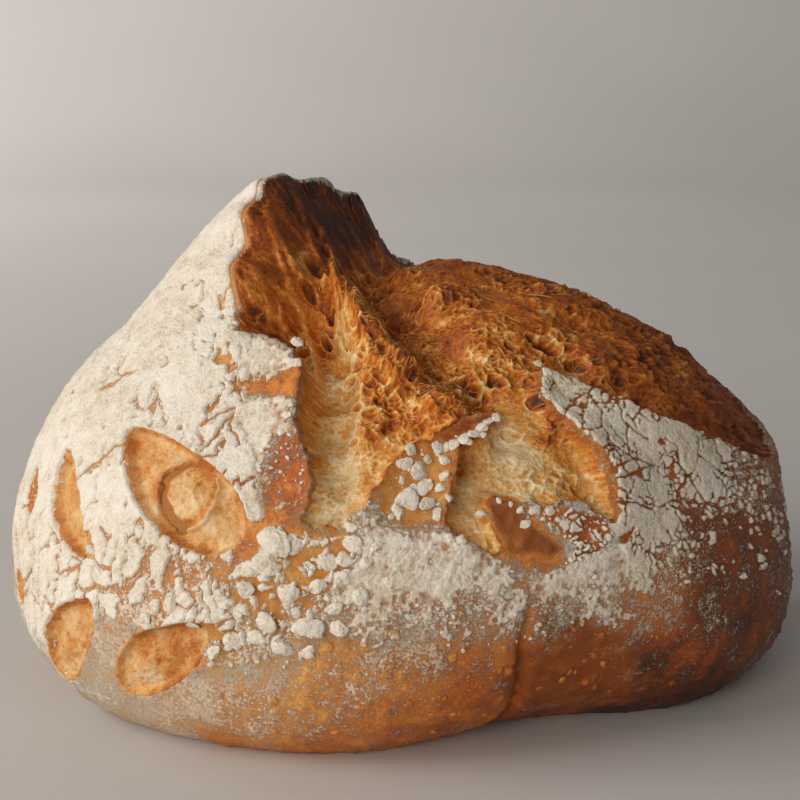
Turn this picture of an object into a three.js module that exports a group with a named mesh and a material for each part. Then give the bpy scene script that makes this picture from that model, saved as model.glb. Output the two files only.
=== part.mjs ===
// A rustic sourdough loaf: an oval, hand-shaped loaf that rests flat on its baked base.
// Its crust has burst along one long slash. On the left of the burst the crust has lifted
// into a tall ear, on the right it ends in a thick flap, and between them lies the torn,
// open crumb. Two rows of leaf-shaped scores are cut into the left side.
//
// The loaf is one solid. Its surface is a distance from the loaf's centre for every
// direction: a smooth oval form, plus the relief of the burst, the scores and the crease.

import * as THREE from "three";
import { mergeVertices } from "three/addons/utils/BufferGeometryUtils.js";

// ---------------------------------------------------------------- driving dimensions, mm

const HALF_LENGTH = 121;
const HALF_WIDTH = 104;
const DOME_HEIGHT = 127;
const CENTRE_HEIGHT = 40;
const UNDERSIDE_DEPTH = 53;
const LENGTH_TURN = THREE.MathUtils.degToRad(9);
const PLAN_POWER = 2.15;
const DOME_POWER = 2;
const UNDERSIDE_POWER = 3;

// Soft swellings of the hand-shaped form: azimuth and elevation in degrees, height in mm.
const SWELLINGS = [
  { azimuth: 350, elevation: -18, height: 5 },
  { azimuth: 300, elevation: -25, height: -12 },
  { azimuth: 195, elevation: 48, height: 7 },
];
const SWELLING_SPREAD = 0.42;

// Slow unevenness of the whole surface.
const UNEVEN_HEIGHT = 0.9;
const UNEVEN_LENGTH = 17;

// ---------------------------------------------------------------- the crust chart
//
// Places on the crust are given as [across, up], in mm along a crust of radius CHART_RADIUS,
// measured from the middle of the loaf's front shoulder, which faces POLE_ELEVATION upwards.

const CHART_RADIUS = 100;
const POLE_ELEVATION = THREE.MathUtils.degToRad(42);
const POLE = new THREE.Vector3(0, -Math.cos(POLE_ELEVATION), Math.sin(POLE_ELEVATION));
const ACROSS = new THREE.Vector3(1, 0, 0);
const UP = new THREE.Vector3().crossVectors(POLE, ACROSS);

function chartFromDirection(direction) {
  const x = direction.dot(ACROSS);
  const y = direction.dot(UP);
  const sideways = Math.max(Math.hypot(x, y), 1e-9);
  const arc = Math.atan2(sideways, direction.dot(POLE)) * CHART_RADIUS;
  return [(x / sideways) * arc, (y / sideways) * arc];
}

function directionFromChart([across, up]) {
  const arc = Math.max(Math.hypot(across, up), 1e-9);
  const angle = arc / CHART_RADIUS;
  return new THREE.Vector3()
    .addScaledVector(ACROSS, (Math.sin(angle) * across) / arc)
    .addScaledVector(UP, (Math.sin(angle) * up) / arc)
    .addScaledVector(POLE, Math.cos(angle));
}

// ---------------------------------------------------------------- outlines on the chart

// One round of corner cutting turns a hand-drawn polygon into a soft outline.
function soften(points, rounds) {
  let outline = points;
  for (let round = 0; round < rounds; round += 1) {
    outline = outline.flatMap(([x, y], index) => {
      const [nextX, nextY] = outline[(index + 1) % outline.length];
      return [
        [0.75 * x + 0.25 * nextX, 0.75 * y + 0.25 * nextY],
        [0.25 * x + 0.75 * nextX, 0.25 * y + 0.75 * nextY],
      ];
    });
  }
  return outline;
}

// Distance to a closed outline, negative inside it.
function signedDistance(outline, [x, y]) {
  let nearest = Infinity;
  let inside = false;
  outline.forEach(([startX, startY], index) => {
    const [endX, endY] = outline[(index + 1) % outline.length];
    const edgeX = endX - startX;
    const edgeY = endY - startY;
    const along = ((x - startX) * edgeX + (y - startY) * edgeY) / (edgeX * edgeX + edgeY * edgeY);
    const t = THREE.MathUtils.clamp(along, 0, 1);
    nearest = Math.min(nearest, Math.hypot(x - startX - t * edgeX, y - startY - t * edgeY));
    const crosses = startY > y !== endY > y;
    if (crosses && x < startX + ((y - startY) / edgeY) * edgeX) {
      inside = !inside;
    }
  });
  return inside ? -nearest : nearest;
}

// The edge of the crust round the burst, from the foot of the left edge, over the floury
// tongue, up the ear, round the back, along the right flap and the island, and home.
const BURST = soften([
  [-28, -42], [-24, -37], [-22, -32], [-23, -27], [-25, -21], [-27, -14], [-28, -8], [-26, -1],
  [-28, 8], [-36, 15], [-47, 19], [-42, 38], [-38, 53], [-34, 64], [-27, 80], [-16, 97],
  [-10, 113], [-4, 128], [8, 143], [24, 154], [44, 158], [66, 152], [88, 138], [108, 114],
  [122, 86], [131, 58], [134, 34], [130, 14], [119, 2], [106, -1], [93, -2], [80, -2], [70, -1],
  [60, 2], [51, 5], [41, 8], [39, 2], [41, -4], [47, -11], [55, -17], [58, -25], [61, -37],
  [53, -34], [47, -33], [41, -35], [31, -35], [22, -35], [25, -41], [30, -50], [20, -48],
  [13, -44], [12, -39], [15, -31], [15, -23], [22, -17], [28, -12], [25, -9], [16, -13],
  [10, -19], [2, -22], [-3, -27], [-7, -36], [-13, -42], [-20, -44],
], 1);

// A pointed leaf round its middle, with its long axis turned from straight up.
function leafOutline([across, up], halfLength, halfWidth, turn) {
  const sides = [-1, -0.6, 0, 0.6, 1, 0.6, 0, -0.6];
  return sides.map((along, index) => {
    const side = index < sides.length / 2 ? 1 : -1;
    const x = side * halfWidth * (1 - along * along);
    const y = halfLength * along;
    const lean = THREE.MathUtils.degToRad(turn);
    return [
      across + x * Math.cos(lean) + y * Math.sin(lean),
      up - x * Math.sin(lean) + y * Math.cos(lean),
    ];
  });
}

// The leaf-shaped scores of the left side. They stand in two rows round a bare stem line,
// and both rows go on in the same way round the back.
const LEAVES = [
  [[-76, -5], [-65, -11], [-55, -19], [-46, -27], [-40, -36], [-41, -45], [-48, -48],
    [-56, -45], [-63, -39], [-70, -31], [-74, -22], [-76, -13]],
  [[-98, -3], [-93, -12], [-90, -24], [-88, -33], [-87, -41], [-94, -36], [-99, -30],
    [-102, -22], [-102, -14], [-100, -7]],
  [[-113, -1], [-110, -10], [-112, -18], [-117, -18], [-118, -9]],
  [[-122, -32], [-122, -42], [-128, -43], [-132, -36], [-130, -30]],
  [[-86, -51], [-88, -59], [-95, -67], [-106, -72], [-114, -69], [-115, -60], [-111, -53],
    [-103, -50], [-95, -50]],
  [[-52, -65], [-55, -72], [-61, -77], [-69, -80], [-79, -81], [-84, -77], [-83, -70],
    [-78, -65], [-71, -63], [-64, -63], [-57, -63]],
  leafOutline([-134, 12], 16, 7, 32),
  leafOutline([-151, 46], 19, 9, 40),
  leafOutline([-157, 89], 20, 10, 52),
  leafOutline([-152, -17], 14, 8, 32),
  leafOutline([-175, 18], 16, 9, 40),
  leafOutline([-188, 64], 17, 10, 52),
].map((outline) => soften(outline, 2));

const LEAF_DEPTH = 3.6;
const LEAF_WALL = 7;
const LEAF_HEART_RISE = 1.2;
const LEAF_HEART = [7, 14];

// ---------------------------------------------------------------- heights over the form

// The crust along the burst's edge: place, height above the oval form, how far outwards the
// rise fades away and how far inwards the torn face leans.
const RIM = [
  [-28, -42, 1, 8, 6], [-23, -29, 3, 10, 6], [-27, -12, 5, 14, 6], [-27, 6, 5, 16, 6],
  [-38, 16, 6, 22, 6], [-46, 20, 7, 34, 8], [-41, 40, 18, 60, 18], [-38, 53, 27, 80, 22],
  [-34, 64, 34, 85, 24], [-27, 80, 29, 85, 24], [-16, 97, 22, 80, 20], [-10, 113, 9, 60, 14],
  [-4, 128, 4, 30, 8], [24, 154, 3, 20, 6], [66, 152, 3, 20, 6], [108, 114, 3, 20, 6],
  [131, 58, 3, 20, 6], [130, 14, 4, 20, 6], [106, -1, 4, 24, 6], [80, -2, 4, 24, 6],
  [60, 2, 4, 24, 6], [41, 8, 4, 20, 6], [41, -4, 3, 16, 6], [55, -17, 4, 18, 6],
  [61, -37, 2, 14, 6], [47, -33, 1, 8, 6], [22, -35, 1, 6, 6], [30, -50, 0, 6, 6],
  [13, -44, 1, 6, 6], [15, -28, 3, 8, 6], [28, -12, 3, 6, 6], [8, -19, 3, 8, 6],
  [-5, -32, 2, 6, 6], [-20, -44, 0, 6, 6],
];
const RIM_PULL = 4;
const RIM_ROUNDING = 2;
const OUTER_SLOPE_POWER = 1.3;
const TORN_FACE_POWER = 2;

// The torn crumb: place and height above the oval form. The left valley comes first, then
// the rise beside it, the front ridge, the second valley, the tear under the island, the
// pale crumb before the right flap, the great dome at the back, and the ear's hollow.
const CRUMB = [
  [-22, -38, -5], [-18, -30, -8], [-20, -15, -12], [-20, 0, -12], [-20, 15, -11], [-24, 26, -7],
  [-8, -30, -4], [-8, -15, -2], [-8, 0, 0], [-10, 15, 1], [-14, 30, 3],
  [-19, 42, 6], [-9, 20, 5], [0, 7, 5], [11, -6, 5], [20, -14, 5],
  [-7, 48, -5], [1, 24, -7], [12, 7, -7], [23, -6, -7], [30, -17, -6],
  [17, -25, -9], [18, -34, -8], [20, -42, -5], [27, -48, -1],
  [36, -22, -3], [45, -27, -3], [52, -28, -4], [36, -8, -2],
  [30, 10, 1], [25, 25, 2], [15, 45, 2], [5, 70, 0], [20, 80, 1], [45, 30, 2], [60, 22, 1],
  [80, 22, 1], [100, 18, 0], [118, 14, -1], [60, 60, 2], [90, 50, 1], [40, 100, 0],
  [0, 100, -3], [70, 100, 0], [110, 60, 0], [30, 135, -2],
  [51, 9, -3], [70, 4, -3], [93, 3, -4], [108, 4, -3],
  [-30, 42, -1], [-25, 60, -3], [-15, 80, -4], [-6, 100, -4],
];
const CRUMB_PULL = 3;
const CRUMB_ROUNDING = 2;

// The crease that runs down the front: where it starts, how wide and how deep it is.
const CREASE_ACROSS = 40;
const CREASE_TOP = -56;
const CREASE_FADE = 12;
const CREASE_WIDTH = 3;
const CREASE_DEPTH = 3;

function smoothStep(from, to, value) {
  const t = THREE.MathUtils.clamp((value - from) / (to - from), 0, 1);
  return t * t * (3 - 2 * t);
}

// Blends the values of scattered points: near a point its own values win.
function blend(points, [x, y], pull, rounding) {
  const width = points[0].length - 2;
  const sums = new Array(width).fill(0);
  let total = 0;
  for (const [pointX, pointY, ...values] of points) {
    const reach = Math.hypot(x - pointX, y - pointY, rounding);
    const weight = reach ** -pull;
    values.forEach((value, index) => {
      sums[index] += weight * value;
    });
    total += weight;
  }
  return sums.map((sum) => sum / total);
}

function burstRelief(place) {
  const outside = signedDistance(BURST, place);
  const [rimHeight, outerReach, innerReach] = blend(RIM, place, RIM_PULL, RIM_ROUNDING);
  if (outside > -EDGE_TOLERANCE) {
    return rimHeight * Math.max(1 - Math.max(outside, 0) / outerReach, 0) ** OUTER_SLOPE_POWER;
  }
  const [crumbHeight] = blend(CRUMB, place, CRUMB_PULL, CRUMB_ROUNDING);
  const face = Math.max(1 + outside / innerReach, 0) ** TORN_FACE_POWER;
  return THREE.MathUtils.lerp(crumbHeight, rimHeight, face);
}

function leafRelief(place) {
  return LEAVES.reduce((relief, outline) => {
    const inside = -signedDistance(outline, place);
    const wall = smoothStep(0, LEAF_WALL, inside);
    const heart = smoothStep(...LEAF_HEART, inside);
    return relief - LEAF_DEPTH * wall + LEAF_HEART_RISE * heart;
  }, 0);
}

function creaseRelief([across, up]) {
  const side = (across - CREASE_ACROSS) / CREASE_WIDTH;
  return -CREASE_DEPTH * Math.exp(-side * side) * smoothStep(CREASE_TOP, CREASE_TOP - CREASE_FADE, up);
}

function unevenRelief([across, up]) {
  const wave = Math.sin(across / UNEVEN_LENGTH + 1) * Math.sin(up / UNEVEN_LENGTH);
  return UNEVEN_HEIGHT * wave;
}

// ---------------------------------------------------------------- the oval form

function swelling(direction, { azimuth, elevation, height }) {
  const level = THREE.MathUtils.degToRad(elevation);
  const turn = THREE.MathUtils.degToRad(azimuth);
  const middle = new THREE.Vector3(
    Math.cos(level) * Math.cos(turn),
    Math.cos(level) * Math.sin(turn),
    Math.sin(level),
  );
  const away = 1 - direction.dot(middle);
  return height * Math.exp((-2 * away) / SWELLING_SPREAD ** 2);
}

function formRadius(direction) {
  const turn = Math.atan2(direction.y, direction.x) - LENGTH_TURN;
  const planLength = Math.abs(Math.cos(turn) / HALF_LENGTH) ** PLAN_POWER;
  const planWidth = Math.abs(Math.sin(turn) / HALF_WIDTH) ** PLAN_POWER;
  const planRadius = (planLength + planWidth) ** (-1 / PLAN_POWER);
  const above = direction.z >= 0;
  const power = above ? DOME_POWER : UNDERSIDE_POWER;
  const height = above ? DOME_HEIGHT - CENTRE_HEIGHT : UNDERSIDE_DEPTH;
  const level = Math.hypot(direction.x, direction.y) / planRadius;
  const oval = (level ** power + Math.abs(direction.z / height) ** power) ** (-1 / power);
  return SWELLINGS.reduce((radius, each) => radius + swelling(direction, each), oval);
}

function surfacePoint(direction) {
  const place = chartFromDirection(direction);
  const relief = burstRelief(place) + leafRelief(place) + creaseRelief(place) + unevenRelief(place);
  const toBase = direction.z < 0 ? CENTRE_HEIGHT / -direction.z : Infinity;
  const radius = Math.min(formRadius(direction) + relief, toBase);
  const point = direction.clone().multiplyScalar(radius);
  point.z += CENTRE_HEIGHT;
  return point;
}

// ---------------------------------------------------------------- the faceted surface

const FACE_STEPS = 31;
const FRONT_FOCUS = 0.3;
const EDGE_PULL = 2.3;
const EDGE_TOLERANCE = 0.2;
const GRADIENT_STEP = 0.1;

// Moves a place that is close to the burst's edge onto it, so that the torn edge is clean.
function settleOnEdge(place) {
  const distance = signedDistance(BURST, place);
  if (Math.abs(distance) > EDGE_PULL) {
    return place;
  }
  const [x, y] = place;
  const slopeX = (signedDistance(BURST, [x + GRADIENT_STEP, y]) - distance) / GRADIENT_STEP;
  const slopeY = (signedDistance(BURST, [x, y + GRADIENT_STEP]) - distance) / GRADIENT_STEP;
  return [x - distance * slopeX, y - distance * slopeY];
}

// A cube's grid blown up to a sphere of directions, turned and crowded towards the front.
function crowdedDirections() {
  const cube = new THREE.BoxGeometry(2, 2, 2, FACE_STEPS, FACE_STEPS, FACE_STEPS);
  cube.deleteAttribute("normal");
  cube.deleteAttribute("uv");
  const grid = mergeVertices(cube);
  const turn = new THREE.Matrix4().makeBasis(ACROSS, UP, POLE);
  const positions = grid.getAttribute("position");
  const corner = new THREE.Vector3();
  for (let index = 0; index < positions.count; index += 1) {
    corner.fromBufferAttribute(positions, index);
    corner.set(...corner.toArray().map((part) => Math.tan((part * Math.PI) / 4)));
    corner.normalize().applyMatrix4(turn).addScaledVector(POLE, FRONT_FOCUS).normalize();
    positions.setXYZ(index, corner.x, corner.y, corner.z);
  }
  return grid;
}

function loafGeometry() {
  const geometry = crowdedDirections();
  const positions = geometry.getAttribute("position");
  const direction = new THREE.Vector3();
  for (let index = 0; index < positions.count; index += 1) {
    direction.fromBufferAttribute(positions, index);
    const place = settleOnEdge(chartFromDirection(direction));
    const point = surfacePoint(directionFromChart(place));
    positions.setXYZ(index, point.x, point.y, point.z);
  }
  geometry.computeBoundingBox();
  const centre = geometry.boundingBox.getCenter(new THREE.Vector3());
  geometry.translate(-centre.x, -centre.y, -geometry.boundingBox.min.z);
  geometry.computeVertexNormals();
  return geometry;
}

// ---------------------------------------------------------------- the loaf

const bakedCrust = new THREE.MeshStandardMaterial({ color: "#c08a52", roughness: 0.85, metalness: 0 });
const loaf = new THREE.Mesh(loafGeometry(), bakedCrust);
loaf.name = "loaf";

const bread = new THREE.Group();
bread.add(loaf);

export default bread;
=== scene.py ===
"""A rustic sourdough loaf, baked until its crust burst open along one long slash.

The loaf is built in the order it was made: the scored and floured crust, the crumb that shows
through the burst, the dried flour that cracked on top, the loose clumps of flour, and the torn
strands along the burst. All sizes are in millimetres until a mesh is made.
"""

import math

import bpy
import numpy as np
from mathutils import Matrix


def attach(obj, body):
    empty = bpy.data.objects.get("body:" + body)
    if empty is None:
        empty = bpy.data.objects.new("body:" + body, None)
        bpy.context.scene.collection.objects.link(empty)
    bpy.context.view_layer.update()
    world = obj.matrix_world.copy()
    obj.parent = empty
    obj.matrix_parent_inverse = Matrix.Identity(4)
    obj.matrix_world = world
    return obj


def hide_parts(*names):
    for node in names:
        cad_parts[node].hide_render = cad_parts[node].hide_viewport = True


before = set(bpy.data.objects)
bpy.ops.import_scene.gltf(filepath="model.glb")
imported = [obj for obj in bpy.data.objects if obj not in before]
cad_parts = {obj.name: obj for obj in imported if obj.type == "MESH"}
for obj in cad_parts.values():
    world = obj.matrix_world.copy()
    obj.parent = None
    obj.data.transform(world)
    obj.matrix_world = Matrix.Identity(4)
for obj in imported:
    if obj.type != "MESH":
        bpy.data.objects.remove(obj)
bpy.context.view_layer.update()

# ---------------------------------------------------------------------------- the crust
# The baked shell of the loaf: flour, water and salt, shaped by hand, scored with leaves on
# the left and slashed along the top, then baked on a stone that left the underside flat.

HALF_LENGTH = 121
HALF_WIDTH = 104
DOME_HEIGHT = 127
CENTRE_HEIGHT = 40
UNDERSIDE_DEPTH = 53
LENGTH_TURN = math.radians(9)
PLAN_POWER = 2.15
DOME_POWER = 2
UNDERSIDE_POWER = 3
# Azimuth and elevation in degrees, height in mm.
SWELLINGS = [(350, -18, 5), (300, -25, -12), (195, 48, 7)]
SWELLING_SPREAD = 0.42


def form_radius(directions):
    """Distance from the loaf's centre to the plain oval form."""
    turn = np.arctan2(directions[:, 1], directions[:, 0]) - LENGTH_TURN
    plan = np.abs(np.cos(turn) / HALF_LENGTH) ** PLAN_POWER
    plan += np.abs(np.sin(turn) / HALF_WIDTH) ** PLAN_POWER
    level = np.hypot(directions[:, 0], directions[:, 1]) * plan ** (1 / PLAN_POWER)
    above = directions[:, 2] >= 0
    power = np.where(above, DOME_POWER, UNDERSIDE_POWER)
    height = np.where(above, DOME_HEIGHT - CENTRE_HEIGHT, UNDERSIDE_DEPTH)
    radius = (level**power + np.abs(directions[:, 2] / height) ** power) ** (-1 / power)
    for azimuth, elevation, swell in SWELLINGS:
        side, rise = math.radians(azimuth), math.radians(elevation)
        middle = np.array([math.cos(rise) * math.cos(side), math.cos(rise) * math.sin(side), math.sin(rise)])
        radius += swell * np.exp(-2 * (1 - directions @ middle) / SWELLING_SPREAD**2)
    return radius


# Places on the crust are [across, up] in mm along a crust of this radius, measured from the
# middle of the loaf's front shoulder.
CHART_RADIUS = 100
POLE_ELEVATION = math.radians(42)
POLE = np.array([0, -math.cos(POLE_ELEVATION), math.sin(POLE_ELEVATION)])
ACROSS = np.array([1.0, 0, 0])
UP = np.cross(POLE, ACROSS)


def chart_from_direction(directions):
    x, y = directions @ ACROSS, directions @ UP
    sideways = np.maximum(np.hypot(x, y), 1e-9)
    arc = np.arctan2(sideways, directions @ POLE) * CHART_RADIUS
    return np.stack([x / sideways * arc, y / sideways * arc], 1)


def direction_from_chart(places):
    arc = np.maximum(np.hypot(places[:, 0], places[:, 1]), 1e-9)
    angle = arc / CHART_RADIUS
    sideways = places / arc[:, None] * np.sin(angle)[:, None]
    return sideways[:, :1] * ACROSS + sideways[:, 1:] * UP + np.cos(angle)[:, None] * POLE


def smooth_step(start, end, value):
    part = np.clip((value - start) / (end - start), 0, 1)
    return part * part * (3 - 2 * part)


def soften(points, rounds):
    """Cuts the corners of a drawn outline."""
    outline = np.array(points, float)
    for _ in range(rounds):
        after = np.roll(outline, -1, 0)
        outline = np.stack([0.75 * outline + 0.25 * after, 0.25 * outline + 0.75 * after], 1).reshape(-1, 2)
    return outline


def distance_to(outline, places):
    """Distance to a closed outline, negative inside it."""
    nearest = np.full(len(places), np.inf)
    inside = np.zeros(len(places), bool)
    x, y = places[:, 0], places[:, 1]
    for (start_x, start_y), (end_x, end_y) in zip(outline, np.roll(outline, -1, 0)):
        edge_x, edge_y = end_x - start_x, end_y - start_y
        along = ((x - start_x) * edge_x + (y - start_y) * edge_y) / (edge_x**2 + edge_y**2)
        along = np.clip(along, 0, 1)
        away = (x - start_x - along * edge_x) ** 2 + (y - start_y - along * edge_y) ** 2
        nearest = np.minimum(nearest, away)
        if edge_y:
            inside ^= ((start_y > y) != (end_y > y)) & (x < start_x + (y - start_y) / edge_y * edge_x)
    return np.sqrt(nearest) * np.where(inside, -1, 1)


def blend(points, places, pull, rounding):
    """Blends the values of scattered points: near a point its own values win."""
    rows = np.array(points, float)
    sums = np.zeros((len(places), rows.shape[1] - 2))
    total = np.zeros(len(places))
    for row in rows:
        reach = (places[:, 0] - row[0]) ** 2 + (places[:, 1] - row[1]) ** 2 + rounding**2
        weight = reach ** (-pull / 2)
        sums += weight[:, None] * row[2:]
        total += weight
    return sums / total[:, None]


def bell(value, width):
    """1 where a value is zero, fading out about twice the width away."""
    return np.exp(-((value / width) ** 2))


NOISE_CELLS = 128
noise_block = np.random.default_rng(11).uniform(-1, 1, (NOISE_CELLS,) * 3).astype(np.float32)


def noise(points, size, seed):
    """Smooth bumps about size mm across, from -1 to 1."""
    spots = np.zeros((len(points), 3))
    spots[:, : points.shape[1]] = points
    spots = spots / size + np.array([seed * 7.13, seed * 3.71, seed * 5.37 + 0.5])
    corner = np.floor(spots).astype(int)
    part = spots - corner
    part = part * part * (3 - 2 * part)
    total = np.zeros(len(points))
    for dx in (0, 1):
        for dy in (0, 1):
            for dz in (0, 1):
                weight = np.abs(1 - dx - part[:, 0]) * np.abs(1 - dy - part[:, 1])
                weight *= np.abs(1 - dz - part[:, 2])
                x, y, z = ((corner + (dx, dy, dz)) % NOISE_CELLS).T
                total += weight * noise_block[x, y, z]
    return total


def rough(points, size, layers, seed):
    """Noise with finer and finer layers, each half as high."""
    return sum(noise(points, size / 2**layer, seed + 3 * layer) / 2**layer for layer in range(layers))


def cells(places, size, seed):
    """Scattered seeds: distances to the nearest and the next, in sizes, and a number for the nearest."""
    spots = places / size
    home = np.floor(spots).astype(int)
    first = np.full(len(places), 9.0)
    second = np.full(len(places), 9.0)
    number = np.zeros(len(places))
    for dx in (-1, 0, 1):
        for dy in (-1, 0, 1):
            x, y = ((home + (dx, dy)) % NOISE_CELLS).T
            middle_x = home[:, 0] + dx + 0.5 + 0.45 * noise_block[x, y, seed]
            middle_y = home[:, 1] + dy + 0.5 + 0.45 * noise_block[x, y, seed + 1]
            away = np.hypot(spots[:, 0] - middle_x, spots[:, 1] - middle_y)
            closer = away < first
            second = np.where(closer, first, np.minimum(second, away))
            number = np.where(closer, 0.5 + 0.5 * noise_block[x, y, seed + 2], number)
            first = np.where(closer, away, first)
    return first, second, number


# The edge of the crust round the burst, from the foot of the left edge, over the floury
# tongue, up the ear, round the back, along the right flap and the island, and home.
BURST = soften([
    (-28, -42), (-24, -37), (-22, -32), (-23, -27), (-25, -21), (-27, -14), (-28, -8), (-26, -1),
    (-28, 8), (-36, 15), (-47, 19), (-42, 38), (-38, 53), (-34, 64), (-27, 80), (-16, 97),
    (-10, 113), (-4, 128), (8, 143), (24, 154), (44, 158), (66, 152), (88, 138), (108, 114),
    (122, 86), (131, 58), (134, 34), (130, 14), (119, 2), (106, -1), (93, -2), (80, -2), (70, -1),
    (60, 2), (51, 5), (41, 8), (39, 2), (41, -4), (47, -11), (55, -17), (58, -25), (61, -37),
    (53, -34), (47, -33), (41, -35), (31, -35), (22, -35), (25, -41), (30, -50), (20, -48),
    (13, -44), (12, -39), (15, -31), (15, -23), (22, -17), (28, -12), (25, -9), (16, -13),
    (10, -19), (2, -22), (-3, -27), (-7, -36), (-13, -42), (-20, -44),
], 1)

# The crust along the burst: place, height above the oval form, how far outwards the rise
# fades, how far inwards the torn face leans, and how much of its thickness the crust shows.
RIM = [
    (-28, -42, 1, 8, 3, 0.3), (-23, -29, 3, 10, 3, 0.9), (-27, -12, 5, 14, 3, 1), (-27, 6, 5, 16, 4, 1),
    (-38, 16, 6, 22, 5, 0.8), (-46, 20, 7, 34, 8, 0.2), (-41, 40, 18, 60, 18, 0), (-38, 53, 27, 80, 22, 0),
    (-34, 64, 31.5, 85, 24, 0), (-27, 80, 27.5, 85, 24, 0), (-16, 97, 22.5, 80, 20, 0),
    (-10, 113, 9, 60, 14, 0),
    (-4, 128, 4, 30, 8, 0), (24, 154, 3, 20, 6, 0), (66, 152, 3, 20, 6, 0), (108, 114, 3, 20, 6, 0),
    (131, 58, 3, 20, 6, 0), (130, 14, 4, 20, 5, 0.3), (106, -1, 4, 24, 4, 0.6), (80, -2, 4, 24, 4, 0.4),
    (60, 2, 4, 24, 4, 0.3), (41, 8, 4, 20, 4, 0.3), (41, -4, 3, 16, 3, 0.35), (55, -17, 4, 18, 3, 0.35),
    (61, -37, 2, 14, 4, 0.2), (47, -33, 1, 8, 4, 0), (22, -35, 1, 6, 3, 0), (30, -50, 0, 6, 4, 0),
    (13, -44, 1, 6, 4, 0.6), (15, -28, 3, 8, 3, 1), (28, -12, 3, 6, 4, 0.8), (8, -19, 3, 8, 5, 0.2),
    (-5, -32, 2, 6, 4, 0), (-20, -44, 0, 6, 4, 0),
]

# The leaf-shaped scores, in two rows round a bare stem line that go on round the back.


def leaf_outline(middle, half_length, half_width, turn):
    """A pointed leaf round its middle, with its long axis turned from straight up."""
    lean = math.radians(turn)
    outline = []
    for index, along in enumerate([-1, -0.6, 0, 0.6, 1, 0.6, 0, -0.6]):
        x = (1 if index < 4 else -1) * half_width * (1 - along * along)
        y = half_length * along
        outline.append((
            middle[0] + x * math.cos(lean) + y * math.sin(lean),
            middle[1] - x * math.sin(lean) + y * math.cos(lean),
        ))
    return outline


LEAVES = [soften(outline, 2) for outline in [
    [(-76, -5), (-65, -11), (-55, -19), (-46, -27), (-40, -36), (-41, -45), (-48, -48),
     (-56, -45), (-63, -39), (-70, -31), (-74, -22), (-76, -13)],
    [(-98, -3), (-93, -12), (-90, -24), (-88, -33), (-87, -41), (-94, -36), (-99, -30),
     (-102, -22), (-102, -14), (-100, -7)],
    [(-113, -1), (-110, -10), (-112, -18), (-117, -18), (-118, -9)],
    [(-122, -32), (-122, -42), (-128, -43), (-132, -36), (-130, -30)],
    [(-86, -51), (-88, -59), (-95, -67), (-106, -72), (-114, -69), (-115, -60), (-111, -53),
     (-103, -50), (-95, -50)],
    [(-52, -65), (-55, -72), (-61, -77), (-69, -80), (-79, -81), (-84, -77), (-83, -70),
     (-78, -65), (-71, -63), (-64, -63), (-57, -63)],
    leaf_outline((-134, 12), 16, 7, 32),
    leaf_outline((-151, 46), 19, 9, 40),
    leaf_outline((-157, 89), 20, 10, 52),
    leaf_outline((-152, -17), 14, 8, 32),
    leaf_outline((-175, 18), 16, 9, 40),
    leaf_outline((-188, 64), 17, 10, 52),
]]
LEAF_DEPTH = 2.0
LEAF_WALL = 1.6
LEAF_RISE = 1.1

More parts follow.
